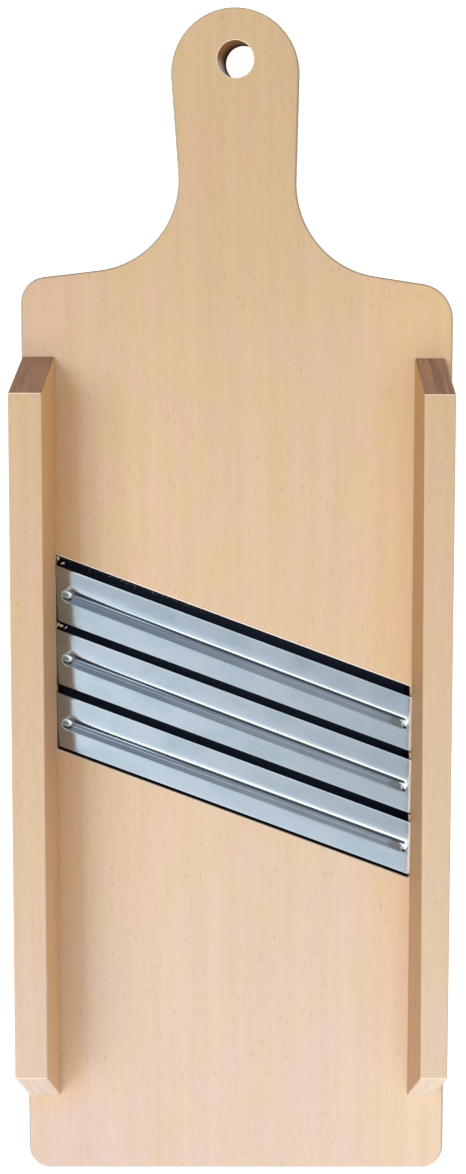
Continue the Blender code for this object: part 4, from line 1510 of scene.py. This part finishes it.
def floor():
    """A pale floor: white with the object's shadow, with painted shade under the board, clear from
    below.
    """
    shape = bmesh.new()
    bmesh.ops.create_grid(shape, x_segments=1, y_segments=1, size=FLOOR_REACH)
    mesh = mesh_of(shape, "floor")
    level = Matrix.Translation((0.0, 0.0, BOARD_LOW.z - FLOOR_GAP))
    ground = place_object("floor", mesh, level)
    material = bpy.data.materials.new("pale_floor")
    material.use_nodes = True
    tree = material.node_tree
    tree.nodes.clear()
    coordinates = add_node(tree, "ShaderNodeTexCoord")
    x, y, _ = axes(tree, coordinates.outputs["Object"])
    covered = product(tree, inside(tree, x, -HALF_WIDTH, HALF_WIDTH, FLOOR_SHADE_SOFT), inside(
        tree, y, FOOT_Y, SHOULDER_Y - FLOOR_SHADE_SOFT, FLOOR_SHADE_SOFT))
    # Painted shade: the floor under the board is a dark blue-grey and has no glow
    under = (0.055, 0.075, 0.13, 1.0)
    matte = add_node(tree, "ShaderNodeBsdfDiffuse", {
        "Color": mixed(tree, covered, (0.42, 0.42, 0.42, 1.0), under)})
    seen_matte = add_node(tree, "ShaderNodeBsdfDiffuse", {
        "Color": mixed(tree, covered, (0.80, 0.80, 0.80, 1.0), under)})
    glow = add_node(tree, "ShaderNodeEmission", {
        "Strength": ramp(tree, covered, 0.0, 1.0, 0.92, 0.0)})
    white = add_node(tree, "ShaderNodeAddShader", {0: matte.outputs[0], 1: glow.outputs[0]})
    path = add_node(tree, "ShaderNodeLightPath")
    seen = calc(tree, "MAXIMUM", path.outputs["Is Camera Ray"], path.outputs["Is Glossy Ray"])
    seen = calc(tree, "MAXIMUM", seen, path.outputs["Is Transmission Ray"])
    choice = add_node(tree, "ShaderNodeMixShader", {
        0: seen, 1: seen_matte.outputs[0], 2: white.outputs[0]})
    geometry = add_node(tree, "ShaderNodeNewGeometry")
    below = product(tree, geometry.outputs["Backfacing"], path.outputs["Is Camera Ray"])
    clear = add_node(tree, "ShaderNodeBsdfTransparent")
    shown = add_node(tree, "ShaderNodeMixShader", {
        0: below, 1: choice.outputs[0], 2: clear.outputs[0]})
    add_node(tree, "ShaderNodeOutputMaterial", {"Surface": shown.outputs[0]})
    mesh.materials.append(material)


def studio_world():
    """A white backdrop for the camera, and a soft grey room with a paler side for the rest."""
    world = bpy.data.worlds.new("studio")
    bpy.context.scene.world = world
    world.use_nodes = True
    tree = world.node_tree
    tree.nodes.clear()
    coordinates = add_node(tree, "ShaderNodeTexCoord")
    x, y, z = axes(tree, coordinates.outputs["Generated"])

    # Ceiling: bright towards the foot, dim towards the handle, dimmer still at the far right
    to_left = ramp(tree, x, 0.20, -0.40)
    foot_side = mixed(tree, to_left, (0.88, 0.856, 0.808, 1.0), (1.408, 1.37, 1.293, 1.0))
    handle_left = ramp(tree, x, -0.12, -0.32)
    handle_right = ramp(tree, x, 0.0, 0.18)
    handle_side = mixed(tree, handle_left, (0.365, 0.385, 0.415, 1.0), (0.225, 0.24, 0.265, 1.0))
    handle_side = mixed(tree, handle_right, handle_side, (0.54, 0.535, 0.52, 1.0))
    ceiling = mixed(tree, ramp(tree, y, 0.08, -0.36), handle_side, foot_side)
    low_foot = ramp(tree, y, -0.47, -0.55)
    ceiling = mixed(tree, low_foot, ceiling, (1.24, 1.24, 1.24, 1.0), "MULTIPLY")
    far_right = ramp(tree, x, 0.25, 0.50)
    ceiling = mixed(tree, far_right, ceiling, (0.65, 0.65, 0.65, 1.0), "MULTIPLY")

    # Walls: nearly dark, and warm at the right
    to_right = ramp(tree, x, 0.1, 0.7)
    walls = mixed(tree, to_right, (0.07, 0.065, 0.06, 1.0), (0.36, 0.225, 0.11, 1.0))
    room = mixed(tree, ramp(tree, z, 0.25, 0.60), walls, ceiling)
    path = add_node(tree, "ShaderNodeLightPath")
    color = mixed(tree, path.outputs["Is Camera Ray"], room, (1.0, 1.0, 1.0, 1.0))
    background = add_node(tree, "ShaderNodeBackground", {"Color": color, "Strength": 1.0})
    add_node(tree, "ShaderNodeOutputWorld", {"Surface": background.outputs[0]})


def soft_box(name, place, size_x, size_y, energy, color):
    """A soft area light that faces the middle of the object."""
    light = bpy.data.lights.new(name, "AREA")
    light.shape = "RECTANGLE"
    light.size = size_x
    light.size_y = size_y
    light.energy = energy
    light.color = color
    lamp = bpy.data.objects.new(name, light)
    bpy.context.scene.collection.objects.link(lamp)
    lamp.location = place
    lamp.rotation_euler = (-Vector(place)).to_track_quat("-Z", "Y").to_euler()


def camera():
    """The camera, as the picture was taken."""
    data = bpy.data.cameras.new("camera")
    data.lens = CAMERA_LENS
    data.sensor_width = CAMERA_SENSOR
    data.shift_x, data.shift_y = CAMERA_SHIFT
    data.clip_start = 0.01
    thing = bpy.data.objects.new("camera", data)
    bpy.context.scene.collection.objects.link(thing)
    thing.location = CAMERA_PLACE
    thing.rotation_euler = [math.radians(turn) for turn in CAMERA_TURN]
    bpy.context.scene.camera = thing


def dress(piece, material, slot, *nodes):
    """Gives a piece its material and its body, and hides the nodes that it stands for; slot is not
    used.
    """
    piece.data.materials.clear()
    piece.data.materials.append(material)
    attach(piece, "root")
    if nodes:
        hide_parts(*nodes)


# Stage, materials and pieces

camera()
studio_world()
floor()
for lamp in LAMPS:
    soft_box(*lamp)

beech = beech_group()
steel = steel_group()
board_beech = wood_material(
    "board_beech", beech, BEECH_COLORS, BEECH_LIGHT_TINTS, (0.0, 0.0, 0.0), 0)
left_beech = wood_material(
    "left_rail_beech", beech, LEFT_RAIL_COLORS, LEFT_RAIL_LIGHT_TINTS, (0.31, 0.17, 0.05), 1)
right_beech = wood_material(
    "right_rail_beech", beech, RIGHT_RAIL_COLORS, RIGHT_RAIL_LIGHT_TINTS, (0.63, 0.41, 0.09), -1)
blade_steel = steel_material("blade_strip_steel", steel)
plated = plated_material("plated_steel", steel)
loose_fibre = fibre_material("loose_fibre", (0.06, 0.04, 0.035, 1.0), (0.42, 0.32, 0.26, 1.0))
pale_crumb = fibre_material("pale_crumb", (0.52, 0.45, 0.40, 1.0), (0.97, 0.93, 0.88, 1.0))

board = place_object("board_wood", board_mesh())
dress(board, board_beech, "beech_board", "board")
weigh_normals(board)

left_rail = place_object("left_rail_wood", rail_mesh(
    "left_rail_wood", LEFT_RAIL_HIGH.x, LEFT_RAIL_LOW.x, LEFT_RAIL_LOW, LEFT_RAIL_HIGH, 0.0))
dress(left_rail, left_beech, "beech_rail", "left_rail")
weigh_normals(left_rail)

right_rail = place_object("right_rail_wood", rail_mesh(
    "right_rail_wood", RIGHT_RAIL_LOW.x, RIGHT_RAIL_HIGH.x, RIGHT_RAIL_LOW, RIGHT_RAIL_HIGH,
    RIGHT_RAIL_PLANED_OFF))
dress(right_rail, right_beech, "beech_rail", "right_rail")
weigh_normals(right_rail)

for index in range(BLADE_COUNT):
    blade = place_object(f"blade_{index + 1}_steel", blade_mesh(index))
    dress(blade, blade_steel, "blade_steel", f"blade_{index + 1}")

fasteners = fastener_tree()
screws = fastener_group("rail_screws", fasteners, screw_mesh(), SCREW_PLACES, plated)
dress(screws, plated, "fastener_steel", *SCREW_NAMES)
brads = fastener_group("blade_brads", fasteners, brad_mesh(), BRAD_PLACES, plated)
dress(brads, plated, "fastener_steel", *BRAD_NAMES)

torn_wood = fibre_tree()
fibres = torn_group("torn_fibres", torn_wood, fibre_points(), FIBRE_LENGTH, FIBRE_RADIUS,
                    loose_fibre)
dress(fibres, loose_fibre, "beech_board")
crumbs = torn_group("wood_crumbs", torn_wood, crumb_points(), CRUMB_LENGTH, CRUMB_RADIUS,
                    pale_crumb)
dress(crumbs, pale_crumb, "beech_board")

bpy.context.scene.view_settings.view_transform = "Standard"
